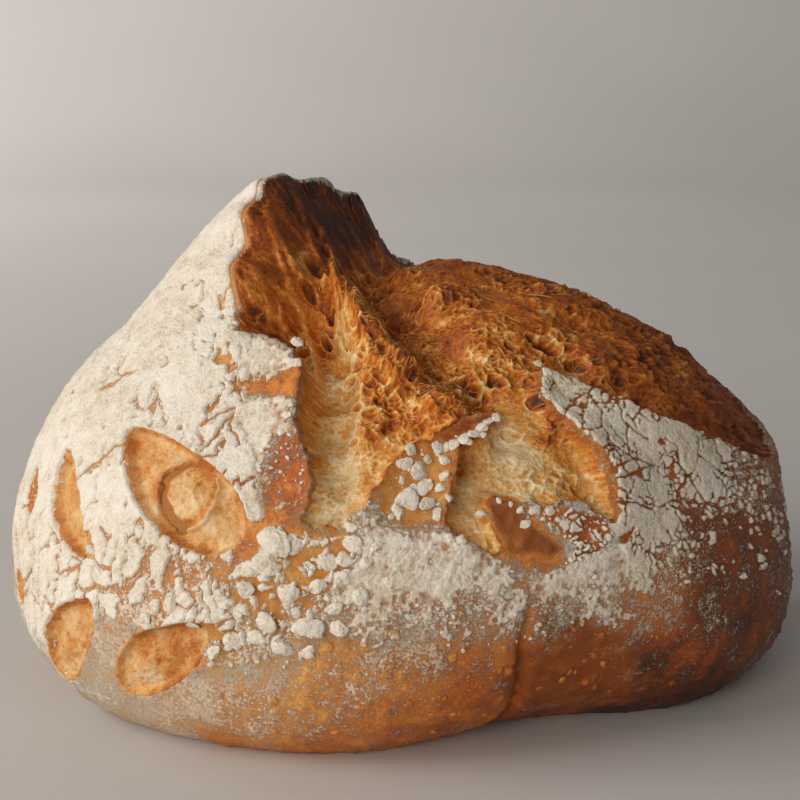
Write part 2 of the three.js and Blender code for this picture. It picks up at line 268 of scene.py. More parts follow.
# Place, then how thick the flour lies, how much fine dust there is, and how dark the crust
# under it has baked, each from 0 to about 1.
COVER = [
    # the ear's outer side and the left side
    (-60, 30, 1, 1, 0.25), (-75, 10, 1, 1, 0.25), (-55, 60, 1, 1, 0.25), (-45, 85, 1, 1, 0.25),
    (-35, 110, 1, 1, 0.3), (-30, 135, 0.85, 0.9, 0.35), (-85, 40, 1, 1, 0.25), (-90, 70, 1, 1, 0.3),
    (-105, 15, 1, 1, 0.25), (-120, 45, 0.95, 0.9, 0.3), (-110, 100, 0.85, 0.8, 0.4),
    (-130, 0, 0.95, 0.9, 0.3),
    (-58, 5, 1, 1, 0.3), (-66, -2, 1, 1, 0.3), (-48, -8, 0.9, 0.9, 0.4), (-83, -20, 1, 1, 0.3),
    (-106, -14, 1, 1, 0.3), (-120, -20, 1, 1, 0.3), (-82, -40, 0.95, 0.8, 0.35),
    (-75, -50, 0.85, 0.9, 0.4), (-64, -56, 0.9, 1, 0.38),
    (-57, -60, 0.95, 1, 0.38), (-50, -64, 0.85, 1, 0.38), (-70, -60, 0.5, 1, 0.42),
    (-98, -45, 0.95, 0.9, 0.35), (-116, -42, 1, 0.9, 0.3), (-120, -60, 0.9, 0.9, 0.35),
    (-60, -52, 0.45, 0.8, 0.4),
    (-80, -62, 0.4, 1.05, 0.3), (-92, -72, 0.5, 1.05, 0.3),
    (-118, -78, 0.65, 1.05, 0.3), (-108, -85, 0.5, 1.05, 0.3), (-138, -30, 0.8, 0.9, 0.35),
    # the floury tongue, the crack beside it, the patch and the rust-coloured end
    (-38, 10, 0.95, 0.9, 0.4), (-33, 7, 0.85, 0.8, 0.5), (-50, 1.5, 0.75, 0.5, 0.45),
    (-45, 0.3, 0.2, 0.1, 0.42),
    (-40, -0.5, 0, 0.1, 0.42), (-35, -1.5, 0, 0.1, 0.45), (-30, -2.5, 0, 0.1, 0.5),
    (-44, 4.5, 0.98, 0.8, 0.4),
    (-36, 3.5, 0.9, 0.8, 0.4), (-46, -5, 0.98, 0.8, 0.4), (-39, -5.5, 0.95, 0.8, 0.4),
    (-33, -7.5, 0.9, 0.8, 0.45),
    (-43, -12, 0.98, 0.9, 0.4), (-36, -13, 0.95, 0.8, 0.5), (-31, -13, 0.8, 0.6, 0.5),
    (-46, -19, 0.95, 0.8, 0.4),
    (-39, -19, 0.9, 0.7, 0.45), (-34, -24, 0.55, 0.4, 0.56), (-42, -28, 0.9, 0.6, 0.42),
    (-38, -30, 0.66, 0.6, 0.45), (-30, -20, 0.48, 0.35, 0.6),
    (-40, -22, 0.9, 0.7, 0.45), (-27, -32, 0.34, 0.25, 0.58), (-34, -34, 0.5, 0.4, 0.55),
    (-37, -41, 0.35, 0.5, 0.42),
    # the stem band and the dusty crust under it
    (-51, -66, 0.1, 0.3, 0.3), (-38, -60, 0.1, 0.35, 0.3), (-27, -54, 0.1, 0.3, 0.28),
    (-13, -49, 0.1, 0.25, 0.28),
    (-45, -75, 0.42, 0.95, 0.3), (-30, -72, 0.42, 0.9, 0.32), (-60, -86, 0.35, 1, 0.3),
    (-75, -93, 0.4, 1.05, 0.3), (-90, -98, 0.45, 1.05, 0.3), (-45, -92, 0.12, 0.8, 0.38),
    (-60, -104, 0.05, 0.5, 0.44), (-30, -108, 0, 0.4, 0.44),
    (-86, -110, 0.1, 0.6, 0.42),
    # the front: a floured brow that thins out downwards into blistered golden brown
    (-8, -48, 1, 0.9, 0.4), (0, -46, 1, 0.9, 0.4), (8, -46, 1, 0.9, 0.45),
    (18, -51, 0.98, 0.9, 0.5), (22, -48, 0.9, 0.8, 0.5),
    (30, -55, 0.9, 0.9, 0.5), (-10, -56, 0.95, 1, 0.42), (0, -55, 1, 1, 0.42), (10, -57, 0.98, 1, 0.45),
    (28, -61, 0.75, 0.95, 0.5), (-20, -66, 0.5, 0.95, 0.42), (-8, -63, 0.75, 1, 0.42),
    (2, -66, 0.65, 1, 0.45),
    (14, -66, 0.65, 1, 0.48), (24, -68, 0.45, 0.9, 0.5), (4, -73, 0.35, 0.85, 0.48),
    (-15, -80, 0.05, 0.7, 0.34), (5, -80, 0.02, 0.62, 0.36),
    (22, -80, 0.02, 0.5, 0.42), (-30, -98, 0, 0.6, 0.36), (0, -98, 0, 0.45, 0.42), (25, -96, 0, 0.35, 0.48),
    # the wedge and the crust between the island and the flap
    (36, -37.5, 0.9, 0.6, 0.45), (44, -40, 0.98, 0.8, 0.5), (51, -43, 0.98, 0.9, 0.5),
    (57, -47, 0.9, 0.9, 0.5),
    (50, -52, 0.95, 1, 0.5), (44, -56, 0.85, 1, 0.5), (36, -54, 0.75, 0.7, 0.5),
    (58, -58, 0.7, 1, 0.52), (48, -63, 0.5, 0.9, 0.55),
    (26, -38, 0, 0, 0.45), (29, -42, 0, 0, 0.45), (32, -45, 0, 0, 0.34), (36, -47.5, 0, 0, 0.34),
    (41, -48.5, 0.1, 0, 0.36),
    (31, -39, 0, 0, 0.45), (35, -43, 0, 0, 0.34), (7, -30, 0.1, 0.2, 0.5),
    (10, -40, 0.1, 0.3, 0.3), (2, -42, 0.05, 0.2, 0.3), (20, -15, 0, 0.1, 0.5),
    # the right flap and the darker right end
    (50, -2, 0.9, 0.8, 0.5), (62, -5, 0.95, 0.9, 0.5), (75, -10, 0.95, 0.9, 0.5), (72, -28, 0.95, 1, 0.5),
    (90, -15, 0.95, 0.9, 0.55), (105, -12, 0.74, 0.8, 0.68), (118, -8, 0.45, 0.7, 0.75),
    (68, -45, 0.85, 1, 0.5),
    (90, -30, 0.5, 0.6, 0.71), (105, -30, 0.3, 0.5, 0.75), (122, -28, 0.3, 0.5, 0.76),
    (80, -55, 0.35, 0.85, 0.62),
    (100, -55, 0.05, 0.45, 0.82), (120, -55, 0.05, 0.35, 0.82), (90, -75, 0, 0.35, 0.82),
    (115, -80, 0, 0.2, 0.96),
    (60, -75, 0, 0.15, 0.56), (62, -92, 0, 0.1, 0.68), (45, -84, 0, 0.1, 0.66), (75, -90, 0, 0.25, 0.68),
    (100, -100, 0, 0.25, 0.9), (60, -108, 0, 0.4, 0.7),
    # the right end, the back and the far left, as the sides that show
    (150, 20, 0.4, 0.8, 0.7), (150, -20, 0.15, 0.7, 0.75), (145, 70, 0.35, 0.8, 0.65),
    (140, -60, 0, 0.5, 0.78),
    (120, 140, 0.4, 0.8, 0.6), (170, 60, 0.1, 0.6, 0.72), (60, 175, 0.5, 0.85, 0.5),
    (20, 175, 0.65, 0.9, 0.45),
    (-30, 165, 0.8, 0.9, 0.4), (100, 190, 0.1, 0.7, 0.65), (30, 205, 0.15, 0.8, 0.6),
    (-60, 185, 0.45, 0.9, 0.5),
    (-90, 140, 0.8, 0.8, 0.4), (-130, 120, 0.8, 0.85, 0.4), (-165, 60, 0.85, 0.9, 0.35),
    (-160, 10, 0.8, 0.9, 0.4),
    (-160, -40, 0.3, 0.9, 0.5), (-190, 40, 0.5, 0.9, 0.5), (-120, 180, 0.1, 0.85, 0.55),
    (-190, 100, 0.2, 0.9, 0.5),
    (-140, -70, 0.25, 0.95, 0.45), (200, 120, 0, 0.6, 0.7),
]

# How tall the crumb stands over the oval form: the left valley first, then the rise beside
# it, the front ridge, the second valley, the tear under the island, the pale crumb before the
# right flap, the great dome at the back, and the ear's hollow.
CRUMB = [
    (-22, -38, -5), (-18, -30, -8), (-20, -15, -12), (-20, 0, -13), (-20, 15, -14),
    (-24, 26, -13), (-28, 33, -9),
    (-8, -30, -4), (-8, -15, -2), (-8, 0, 0), (-10, 15, 1), (-14, 30, 3),
    (-19, 42, 2), (-9, 20, 2), (0, 7, 2.5), (11, -6, 2.5), (20, -14, 3),
    (-7, 48, -10), (-2, 38, -10), (-12, 58, -9), (1, 24, -8), (12, 7, -7), (23, -6, -7), (30, -17, -6),
    (17, -25, -9), (18, -34, -8), (20, -42, -5), (27, -48, -1),
    (36, -22, -3), (45, -27, -3), (52, -28, -4), (36, -8, -2),
    (30, 10, 1), (25, 25, 2), (15, 45, 2), (5, 70, 0), (20, 80, 1), (45, 30, 2), (60, 22, 1),
    (80, 22, 1), (100, 18, 0), (118, 14, -1), (60, 60, 2), (90, 50, 1), (40, 100, 0),
    (0, 100, -3), (70, 100, 0), (110, 60, 0), (30, 135, -2),
    (51, 9, -3), (70, 4, -3), (93, 3, -4), (108, 4, -3),
    (-30, 42, -2), (-25, 60, -4), (-15, 80, -5), (-6, 100, -4),
]

RAGGED_HEIGHT = 1.0
RAGGED_LENGTH = 3.5
RAGGED_REACH = 6
WAVE_HEIGHT, WAVE_LENGTH = 0.9, 17
LEAF_LIP_HEIGHT, LEAF_LIP_PLACE, LEAF_LIP_WIDTH = 0.35, 0.7, 0.8
CREASE_ACROSS, CREASE_TOP, CREASE_FADE, CREASE_WIDTH, CREASE_DEPTH = 40, -56, 12, 2.2, 3.0
BLISTER_HEIGHT, BLISTER_SPACING, BLISTER_SHARE = 0.7, 5.5, 0.45
FLOUR_THICKNESS = 0.45


def burst_distance(places):
    """Distance to the torn edge of the crust, negative where the crumb shows."""
    distance = distance_to(BURST, places)
    x, y = places.T
    ear_lip = smooth_step(24, 32, y) * smooth_step(84, 70, y) * smooth_step(-15, -25, x)
    ragged = RAGGED_HEIGHT * (1 - 0.8 * ear_lip) * rough(places, RAGGED_LENGTH, 3, 4)
    return distance + ragged * bell(distance, RAGGED_REACH)


def leaf_depth_inside(places):
    """How far inside a leaf-shaped score each place is, negative outside."""
    inside = np.full(len(places), -99.0)
    for outline in LEAVES:
        near = np.all(np.abs(places - outline.mean(0)) < 40, axis=1)
        inside[near] = np.maximum(inside[near], -distance_to(outline, places[near]))
    return inside


def crust_height(places, distance):
    """Height of the plain crust over the oval form, everywhere but in the burst."""
    height, outer_reach, _, _ = blend(RIM, places, 4, 2).T
    relief = height * np.clip(1 - np.maximum(distance, 0) / outer_reach, 0, 1) ** 1.3
    relief += WAVE_HEIGHT * np.sin(places[:, 0] / WAVE_LENGTH + 1) * np.sin(places[:, 1] / WAVE_LENGTH)
    inside = leaf_depth_inside(places)
    near = inside > -6
    cut = inside[near] + 0.35 * rough(places[near], 2.5, 2, 8)
    relief[near] -= LEAF_DEPTH * smooth_step(-0.2, LEAF_WALL, cut) - LEAF_RISE * smooth_step(2, 10, cut)
    relief[near] += LEAF_LIP_HEIGHT * bell(cut + LEAF_LIP_PLACE, LEAF_LIP_WIDTH)
    crease = bell(places[:, 0] - CREASE_ACROSS - 1.5 * np.sin(places[:, 1] / 9), CREASE_WIDTH)
    return relief - CREASE_DEPTH * crease * smooth_step(CREASE_TOP, CREASE_TOP - CREASE_FADE, places[:, 1])


def dressed_height(places, distance):
    """Height of the crust with its flour, blisters and wrinkles."""
    flour = blend(COVER, places, 4, 4)[:, 0]
    height = crust_height(places, distance)
    away_from_edge = smooth_step(0, 2, distance)
    outside_leaves = leaf_depth_inside(places) < 0
    ragged_flour = flour + 0.22 * rough(places, 6, 3, 21)
    height += FLOUR_THICKNESS * smooth_step(0.42, 0.62, ragged_flour) * away_from_edge * outside_leaves
    first, _, number = cells(places + 1.2 * noise(places, 4, 30)[:, None], BLISTER_SPACING, 12)
    size = 0.18 + 0.25 * number
    blisters = np.clip(1 - (first / size) ** 2, 0, 1) * (number > BLISTER_SHARE)
    height += BLISTER_HEIGHT * blisters * (1 - smooth_step(0.3, 0.6, flour)) * away_from_edge
    height += 0.25 * rough(places, 7, 3, 40)
    height += (0.07 + 0.12 * (1 - flour)) * rough(places, 1.8, 2, 41)
    return height


def crust_surface(places, height):
    """Points of the crust, in mm, for heights over the oval form."""
    directions = direction_from_chart(places)
    radius = form_radius(directions) + height
    to_base = np.where(directions[:, 2] < 0, CENTRE_HEIGHT / np.maximum(-directions[:, 2], 1e-9), np.inf)
    points = directions * np.minimum(radius, to_base)[:, None]
    points[:, 2] += CENTRE_HEIGHT
    return points + CENTRING


def deselect_all():
    for item in bpy.context.selected_objects:
        item.select_set(False)


def set_points(piece, points):
    piece.data.vertices.foreach_set("co", (points / 1000).ravel())
    piece.data.update()


def get_points(piece):
    points = np.empty(len(piece.data.vertices) * 3)
    piece.data.vertices.foreach_get("co", points)
    return points.reshape(-1, 3) * 1000


def set_attribute(piece, name, values, inner=0):
    """Keeps one number, or a row of three, for each point of a piece. The inner point that
    closes a patch has no value of its own and gets the inner one."""
    values = np.asarray(values, float)
    missing = len(piece.data.vertices) - len(values)
    values = np.concatenate([values, np.full((missing,) + values.shape[1:], inner)])
    kind, slot = ("FLOAT", "value") if values.ndim == 1 else ("FLOAT_VECTOR", "vector")
    attribute = piece.data.attributes.get(name) or piece.data.attributes.new(name, kind, "POINT")
    attribute.data.foreach_set(slot, values.ravel())


def edge_slope(places, distance, step):
    """The way over the chart in which the distance to the torn edge grows."""
    slope = np.stack([
        burst_distance(places + (step, 0)) - distance,
        burst_distance(places + (0, step)) - distance,
    ], 1) / step
    return slope / np.maximum(np.linalg.norm(slope, axis=1), 0.5)[:, None]


CRUST_ROUNDS = 7
FRONT_FOCUS = 0.4
EDGE_PULL = 0.55

deselect_all()
bpy.ops.mesh.primitive_cube_add(size=2)
crust = bpy.context.object
crust.name = crust.data.name = "crust"
rounds = crust.modifiers.new("steps", "SUBSURF")
rounds.subdivision_type = "SIMPLE"
rounds.levels = rounds.render_levels = CRUST_ROUNDS
bpy.ops.object.modifier_apply(modifier=rounds.name)
while crust.data.uv_layers:
    crust.data.uv_layers.remove(crust.data.uv_layers[0])

corners = np.tan(get_points(crust) / 1000 * math.pi / 4)
corners /= np.linalg.norm(corners, axis=1)[:, None]
directions = corners[:, :1] * ACROSS + corners[:, 1:2] * UP + corners[:, 2:] * POLE + FRONT_FOCUS * POLE
directions /= np.linalg.norm(directions, axis=1)[:, None]
places = chart_from_direction(directions)

# Points close to the torn edge settle on it, so that the edge is a clean line of points.
distance = burst_distance(places)
near = np.abs(distance) < EDGE_PULL
places[near] -= distance[near][:, None] * edge_slope(places[near], distance[near], 0.1)
distance[near] = 0

EDGE_THICKNESS = 3
# How far the crumb lies under the crust's edge, and how much deeper it goes within what width.
CRUMB_SUNK, CRUMB_DIVE, CRUMB_DIVE_WIDTH = 0.6, 2.5, 1.5


def crumb_height(places, distance):
    """Height of the torn crumb's plain form, which climbs to the crust or runs under it."""
    rim_height, _, inner_reach, bare_edge = blend(RIM, places, 4, 2).T
    crumb = blend(CRUMB, places, 3, 2)[:, 0]
    face = np.clip(1 + np.minimum(distance, 0) / inner_reach, 0, 1) ** 2
    inside = crumb + (rim_height - EDGE_THICKNESS * bare_edge - crumb) * face
    outside = crust_height(places, distance) - CRUMB_SUNK
    outside -= CRUMB_DIVE * np.clip(distance / CRUMB_DIVE_WIDTH, 0, 1)
    outside -= EDGE_THICKNESS * bare_edge
    return np.where(distance > 0, np.minimum(inside, outside), inside)


POCKET_DEPTH = 5
UNDERCUT, UNDERCUT_PLACE = 1.6, 1.2
SCORE_HOLLOW = 3.2

# The whole loaf is moved so that its box is centred on the floor, once the crust is known.
CENTRING = np.zeros(3)
cover = blend(COVER, places, 4, 4)
height = dressed_height(places, distance)

# Inside the burst the crust turns under its own edge and drops below the crumb.
inside = distance < 0
depth = np.clip(-distance / 2.2, 0, 1)
bare_edge = blend(RIM, places, 4, 2)[:, 3]
pocket = crumb_height(places, distance) - POCKET_DEPTH * smooth_step(0, 3, -distance)
height = np.where(inside, np.minimum(pocket, height - EDGE_THICKNESS * depth), height)
undercut = np.where(inside, UNDERCUT * bare_edge * bell(-distance - UNDERCUT_PLACE, UNDERCUT_PLACE), 0)
undercut *= 1 + 0.5 * noise(places, 2, 61)
near = inside & (distance > -5)
turned_places = places.copy()
turned_places[near] += edge_slope(places[near], distance[near], 0.2) * undercut[near][:, None]

# Under the first six scores, whose floors are a piece of their own, the crust is hollow.
in_leaf = leaf_depth_inside(places)
own_floor = np.all((places > (-140, -90)) & (places < (-36, 2)), axis=1)
height -= SCORE_HOLLOW * smooth_step(1.0, 2.6, in_leaf) * own_floor
points = crust_surface(turned_places, height)
low, high = points.min(0), points.max(0)
CENTRING = np.array([-(low[0] + high[0]) / 2, -(low[1] + high[1]) / 2, -low[2]])
set_points(crust, points + CENTRING)

STEM = soften([
    (-58, -62), (-48, -56), (-40, -50), (-34, -42), (-27, -43), (-20, -44), (-10, -40), (-4, -30),
    (3, -24), (12, -19), (20, -15), (28, -11), (29, -13), (22, -18), (15, -24), (15, -32),
    (12, -40), (6, -42), (0, -43), (-9, -46), (-12, -52), (-16, -60), (-26, -68), (-40, -74),
    (-54, -74),
], 1)
GLOSS = soften([
    (42, -64), (58, -64), (72, -68), (82, -80), (80, -98), (62, -106), (46, -102), (40, -84),
], 2)
stem = smooth_step(-1.5, 2.0, -distance_to(STEM, places) + 1.5 * noise(places, 4, 50))
WEDGE_BAND = np.array([
    (21, -35.5), (30, -35.5), (34, -38.5), (38, -42), (46, -46.5), (42, -49), (36, -48.5),
    (31, -50), (26, -42),
], float)
wedge = smooth_step(-0.6, 0.8, -distance_to(WEDGE_BAND, places) + 0.6 * noise(places, 2.5, 51))
gloss = smooth_step(-3, 3, -distance_to(GLOSS, places) + 3 * noise(places, 6, 52))
set_attribute(crust, "flour", cover[:, 0] * (1 - smooth_step(-0.8, 0.6, in_leaf)) * (distance > -0.3))
set_attribute(crust, "dust", cover[:, 1] * (1 - smooth_step(0.5, 2.5, in_leaf)))
set_attribute(crust, "toast", cover[:, 2])
set_attribute(crust, "score", smooth_step(-0.6, 0.8, in_leaf))
set_attribute(crust, "score_depth", np.clip(in_leaf / 10, 0, 1))
set_attribute(crust, "stem", stem)
set_attribute(crust, "gloss", np.maximum(gloss, 0.95 * wedge))
set_attribute(crust, "torn", smooth_step(1.6, 0.3, distance + 0.6 * noise(places, 2, 60)))
set_attribute(crust, "place", np.column_stack([places, np.zeros(len(places))]) / 1000)


def linear(colour):
    """Turns an sRGB hex colour to Blender's linear one."""
    parts = [int(colour[start : start + 2], 16) / 255 for start in (1, 3, 5)]
    return [part / 12.92 if part <= 0.04045 else ((part + 0.055) / 1.055) ** 2.4 for part in parts] + [1]


def add_node(material, kind, inputs=None, stops=None, output=0, **settings):
    """Adds a node to a material, with its settings, its colour stops and its links, and gives
    one of its outputs."""
    node = material.node_tree.nodes.new("ShaderNode" + kind)
    for name, value in settings.items():
        setattr(node, name, value)
    if stops:
        ramp = node.color_ramp
        while len(ramp.elements) < len(stops):
            ramp.elements.new(1)
        for element, (position, colour) in zip(ramp.elements, stops):
            element.position = position
            element.color = linear(colour)
    for name, value in (inputs or {}).items():
        if isinstance(value, bpy.types.NodeSocket):
            material.node_tree.links.new(value, node.inputs[name])
        else:
            node.inputs[name].default_value = value
    return node.outputs[output] if node.outputs else None


def add_patterns(material, level, patterns, middle=0):
    """A level with patterns added to it, each less its middle and times its weight."""
    for pattern, weight in patterns:
        if middle:
            pattern = add_node(material, "Math", {0: pattern, 1: middle}, operation="SUBTRACT")
        level = add_node(material, "Math", {0: pattern, 1: weight, 2: level}, operation="MULTIPLY_ADD")
    return level


def new_material(name):
    material = bpy.data.materials.new(name)
    material.use_nodes = True
    material.node_tree.nodes.clear()
    return material


# Baked crust: starch and sugars browned in the oven, semi-gloss where it is bare. The flour
# that was dusted on the dough stays matt and white, and cracks as the dough swells under it.
baked_crust = new_material("baked_crust_with_flour")
spot = add_node(baked_crust, "TexCoord", output="Object")
chart = add_node(baked_crust, "Attribute", output="Vector", attribute_name="place")
layers = {
    name: add_node(baked_crust, "Attribute", output="Fac", attribute_name=name)
    for name in ("flour", "dust", "toast", "score", "score_depth", "stem", "gloss", "torn")
}
mottle = add_node(baked_crust, "TexNoise", {"Vector": spot, "Scale": 110, "Detail": 6, "Roughness": 0.68})
blotch = add_node(baked_crust, "TexNoise", {"Vector": spot, "Scale": 38, "Detail": 3})
grain = add_node(baked_crust, "TexNoise", {"Vector": spot, "Scale": 620, "Detail": 5, "Roughness": 0.8})
powder = add_node(baked_crust, "TexNoise", {"Vector": spot, "Scale": 1500, "Detail": 4, "Roughness": 0.85})
toast_level = add_patterns(
    baked_crust, layers["toast"], ((mottle, 1.1), (blotch, 0.55), (powder, 0.8), (grain, 0.7)), 0.5
)
coloured = add_node(baked_crust, "ValToRGB", {"Fac": toast_level}, [
    (0.1, "#e6ab5e"), (0.32, "#d48434"), (0.5, "#bd611c"), (0.68, "#914513"), (0.85, "#5e2c11"),
    (1.0, "#391d10"),
])
leaf_tone = add_patterns(
    baked_crust, layers["score_depth"], ((mottle, 0.9), (powder, 1.2), (grain, 0.8)), 0.5
)
rust_tone = add_patterns(baked_crust, mottle, ((grain, 1.2),))
rust_tone = add_node(baked_crust, "Math", {0: rust_tone, 1: 0.6}, operation="SUBTRACT")
# over the bare crust: the scores, the amber stem, the glossy patch and the rusty torn edge
for layer_name, tone, stops in (
    ("score", leaf_tone, [
        (0.0, "#a85c1f"), (0.22, "#cc8136"), (0.42, "#dba561"), (0.62, "#e7c18d"), (0.85, "#f0d8b0"),
    ]),
    ("stem", mottle, [(0.28, "#b0641c"), (0.5, "#cf8c3c"), (0.75, "#e2b269")]),
    ("gloss", mottle, [(0.25, "#74360a"), (0.55, "#9a5013"), (0.8, "#b87327")]),
    ("torn", rust_tone, [(0.2, "#6e3210"), (0.42, "#a9591c"), (0.6, "#c97f38"), (0.8, "#e2b57c")]),
):
    paint = add_node(baked_crust, "ValToRGB", {"Fac": tone}, stops)
    inputs = {0: layers[layer_name], 6: coloured, 7: paint}
    coloured = add_node(baked_crust, "Mix", inputs, output=2, data_type="RGBA")
# fine dust: a veil of loose flour, its grains drawn up to a millimetre wide so that they show
dust_level = add_node(baked_crust, "Math", {0: layers["dust"], 1: 0.95}, operation="MULTIPLY")
dust_level = add_patterns(baked_crust, dust_level, ((powder, 2.8), (grain, 2.3), (mottle, 1.7)), 0.5)
inputs = {"Value": dust_level, "From Min": 0.64, "From Max": 0.94, "To Max": 0.92}
dusty = add_node(baked_crust, "MapRange", inputs)
inputs = {0: dusty, 6: coloured, 7: linear("#f0dcc2")}
coloured = add_node(baked_crust, "Mix", inputs, output=2, data_type="RGBA")
# flour that lies thick: a matt white skin with a ragged edge, cracked where the dough swelled
flour_level = add_patterns(baked_crust, layers["flour"], ((powder, 1.2), (grain, 1.8), (mottle, 1.0)), 0.5)
floury = add_node(baked_crust, "MapRange", {"Value": flour_level, "From Min": 0.5, "From Max": 0.72})
inputs = {"Vector": chart, "Scale": 160, "Detail": 4, "Roughness": 0.7}
bend = add_node(baked_crust, "TexNoise", inputs, output="Color")
bend = add_node(baked_crust, "VectorMath", {0: bend, 1: (0.005, 0.005, 0)}, operation="MULTIPLY")
bent = add_node(baked_crust, "VectorMath", {0: chart, 1: bend}, operation="ADD")
stretched = add_node(baked_crust, "VectorMath", {0: bent, 1: (1, 0.45, 1)}, operation="MULTIPLY")
plates = add_node(baked_crust, "TexVoronoi", {"Vector": stretched, "Scale": 105}, feature="DISTANCE_TO_EDGE")
inputs = {"Value": plates, "From Min": 0.012, "From Max": 0.05, "To Min": 1, "To Max": 0}
crack_line = add_node(baked_crust, "MapRange", inputs)
crack_place = add_node(baked_crust, "MapRange", {"Value": blotch, "From Min": 0.47, "From Max": 0.56})
crack = add_node(baked_crust, "Math", {0: crack_line, 1: crack_place}, operation="MULTIPLY")
uncracked = add_node(baked_crust, "Math", {0: crack, 1: -0.75, 2: 1}, operation="MULTIPLY_ADD")
floury_tops = add_node(baked_crust, "Math", {0: floury, 1: uncracked}, operation="MULTIPLY")
flour_colour = add_node(baked_crust, "ValToRGB", {"Fac": mottle}, [
    (0.3, "#ddd0bb"), (0.5, "#e8decd"), (0.7, "#efe8db"),
])
inputs = {0: floury_tops, 6: coloured, 7: flour_colour}
coloured = add_node(baked_crust, "Mix", inputs, output=2, data_type="RGBA")
# heights in mm, for the bump
raised = add_node(baked_crust, "Math", {0: floury_tops, 1: 0.35}, operation="MULTIPLY")
raised = add_patterns(baked_crust, raised, ((dusty, 0.2), (grain, 0.3), (powder, 0.3), (mottle, 0.5)))
bump = add_node(baked_crust, "Bump", {"Height": raised, "Distance": 0.001, "Strength": 0.9})
sheen = add_node(baked_crust, "MapRange", {"Value": layers["gloss"], "To Min": 0.5, "To Max": 0.26})
roughness = add_patterns(baked_crust, sheen, ((dusty, 0.4),))
roughness = add_node(baked_crust, "Mix", {0: floury_tops, 2: roughness, 3: 0.95})
inputs = {"Base Color": coloured, "Roughness": roughness, "Normal": bump, "IOR": 1.45}
surface = add_node(baked_crust, "BsdfPrincipled", inputs)
add_node(baked_crust, "OutputMaterial", {"Surface": surface})

crust.data.materials.clear()
crust.data.materials.append(baked_crust)
deselect_all()
crust.select_set(True)
bpy.context.view_layer.objects.active = crust
bpy.ops.object.shade_smooth()
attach(crust, "root")
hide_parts("loaf")

# ---------------------------------------------------------------------------- the open crumb
# Where the slash burst open the inside of the loaf shows: soft torn dough with drawn-out
# fibres and bubbles, cream where it stayed covered and toasted where it stood proud.

# The way the torn fibres run, in degrees from across, by place.
FIBRE_RUN = [
    (-20, -30, -10), (-15, -10, -5), (-18, 10, 0), (-20, 25, 50), (-27, 31, 80), (-8, 0, 28),
    (-8, -15, 15), (-8, 30, 42), (0, 7, 35), (11, -6, 30), (20, -14, 22), (1, 24, -10), (12, 7, -25),
    (23, -6, -30), (30, -17, -35), (17, -26, -60), (18, -35, -50), (24, -43, -45), (36, -22, -25),
    (48, -27, -20), (36, -8, -35), (30, 10, -30), (25, 25, -20), (15, 45, -15), (5, 70, -5),
    (45, 30, -18), (60, 22, -25), (80, 22, -25), (100, 18, -30), (118, 14, -30), (60, 60, -12),
    (90, 50, -20), (40, 100, -5), (0, 100, 5), (70, 100, -15), (30, 135, 0), (-40, 30, 60), (-35, 50, 70),
    (-28, 65, 75), (-20, 85, 70), (-10, 105, 60), (-25, 45, 20), (-12, 60, 0), (-5, 85, 0),
]
# How brown the crumb is: 0 is cream, 0.4 golden, 0.6 orange brown, 0.8 dark brown, 1 burnt.
CRUMB_TONE = [
    (-20, -38, 0.12), (-16, -28, 0.14), (-16, -14, 0.18), (-17, 0, 0.22), (-18, 14, 0.26), (-22, 24, 0.28),
    (-26, 30, 0.42), (-7, -30, 0.3), (-6, -16, 0.46), (-6, -2, 0.5), (-8, 12, 0.45), (-12, 28, 0.5),
    (-18, 40, 0.55), (-6, 20, 0.62), (1, 8, 0.64), (11, -5, 0.55), (19, -13, 0.54), (-7, 48, 0.62),
    (1, 25, 0.62), (12, 8, 0.56), (24, -5, 0.5), (31, -15, 0.13), (17, -24, 0.4), (18, -34, 0.22),
    (22, -43, 0.24), (36, -22, 0.11), (45, -27, 0.34), (52, -28, 0.4), (36, -8, 0.3), (47, -14, 0.42),
    (30, 10, 0.5), (40, 14, 0.54), (52, 12, 0.46), (25, 25, 0.58), (15, 45, 0.64), (5, 65, 0.6),
    (45, 30, 0.57), (60, 20, 0.6), (80, 20, 0.67), (100, 17, 0.71), (120, 16, 0.75), (20, 80, 0.64),
    (60, 60, 0.66), (90, 50, 0.71), (40, 100, 0.66), (70, 100, 0.7), (0, 100, 0.62), (30, 135, 0.66),
    (110, 70, 0.73), (-42, 24, 0.55), (-40, 36, 0.58), (-37, 50, 0.64), (-30, 62, 0.8), (-24, 74, 0.88),
    (-18, 88, 0.88), (-10, 104, 0.85), (-27, 44, 0.52), (-16, 58, 0.56), (-8, 75, 0.62), (-2, 90, 0.6),
]
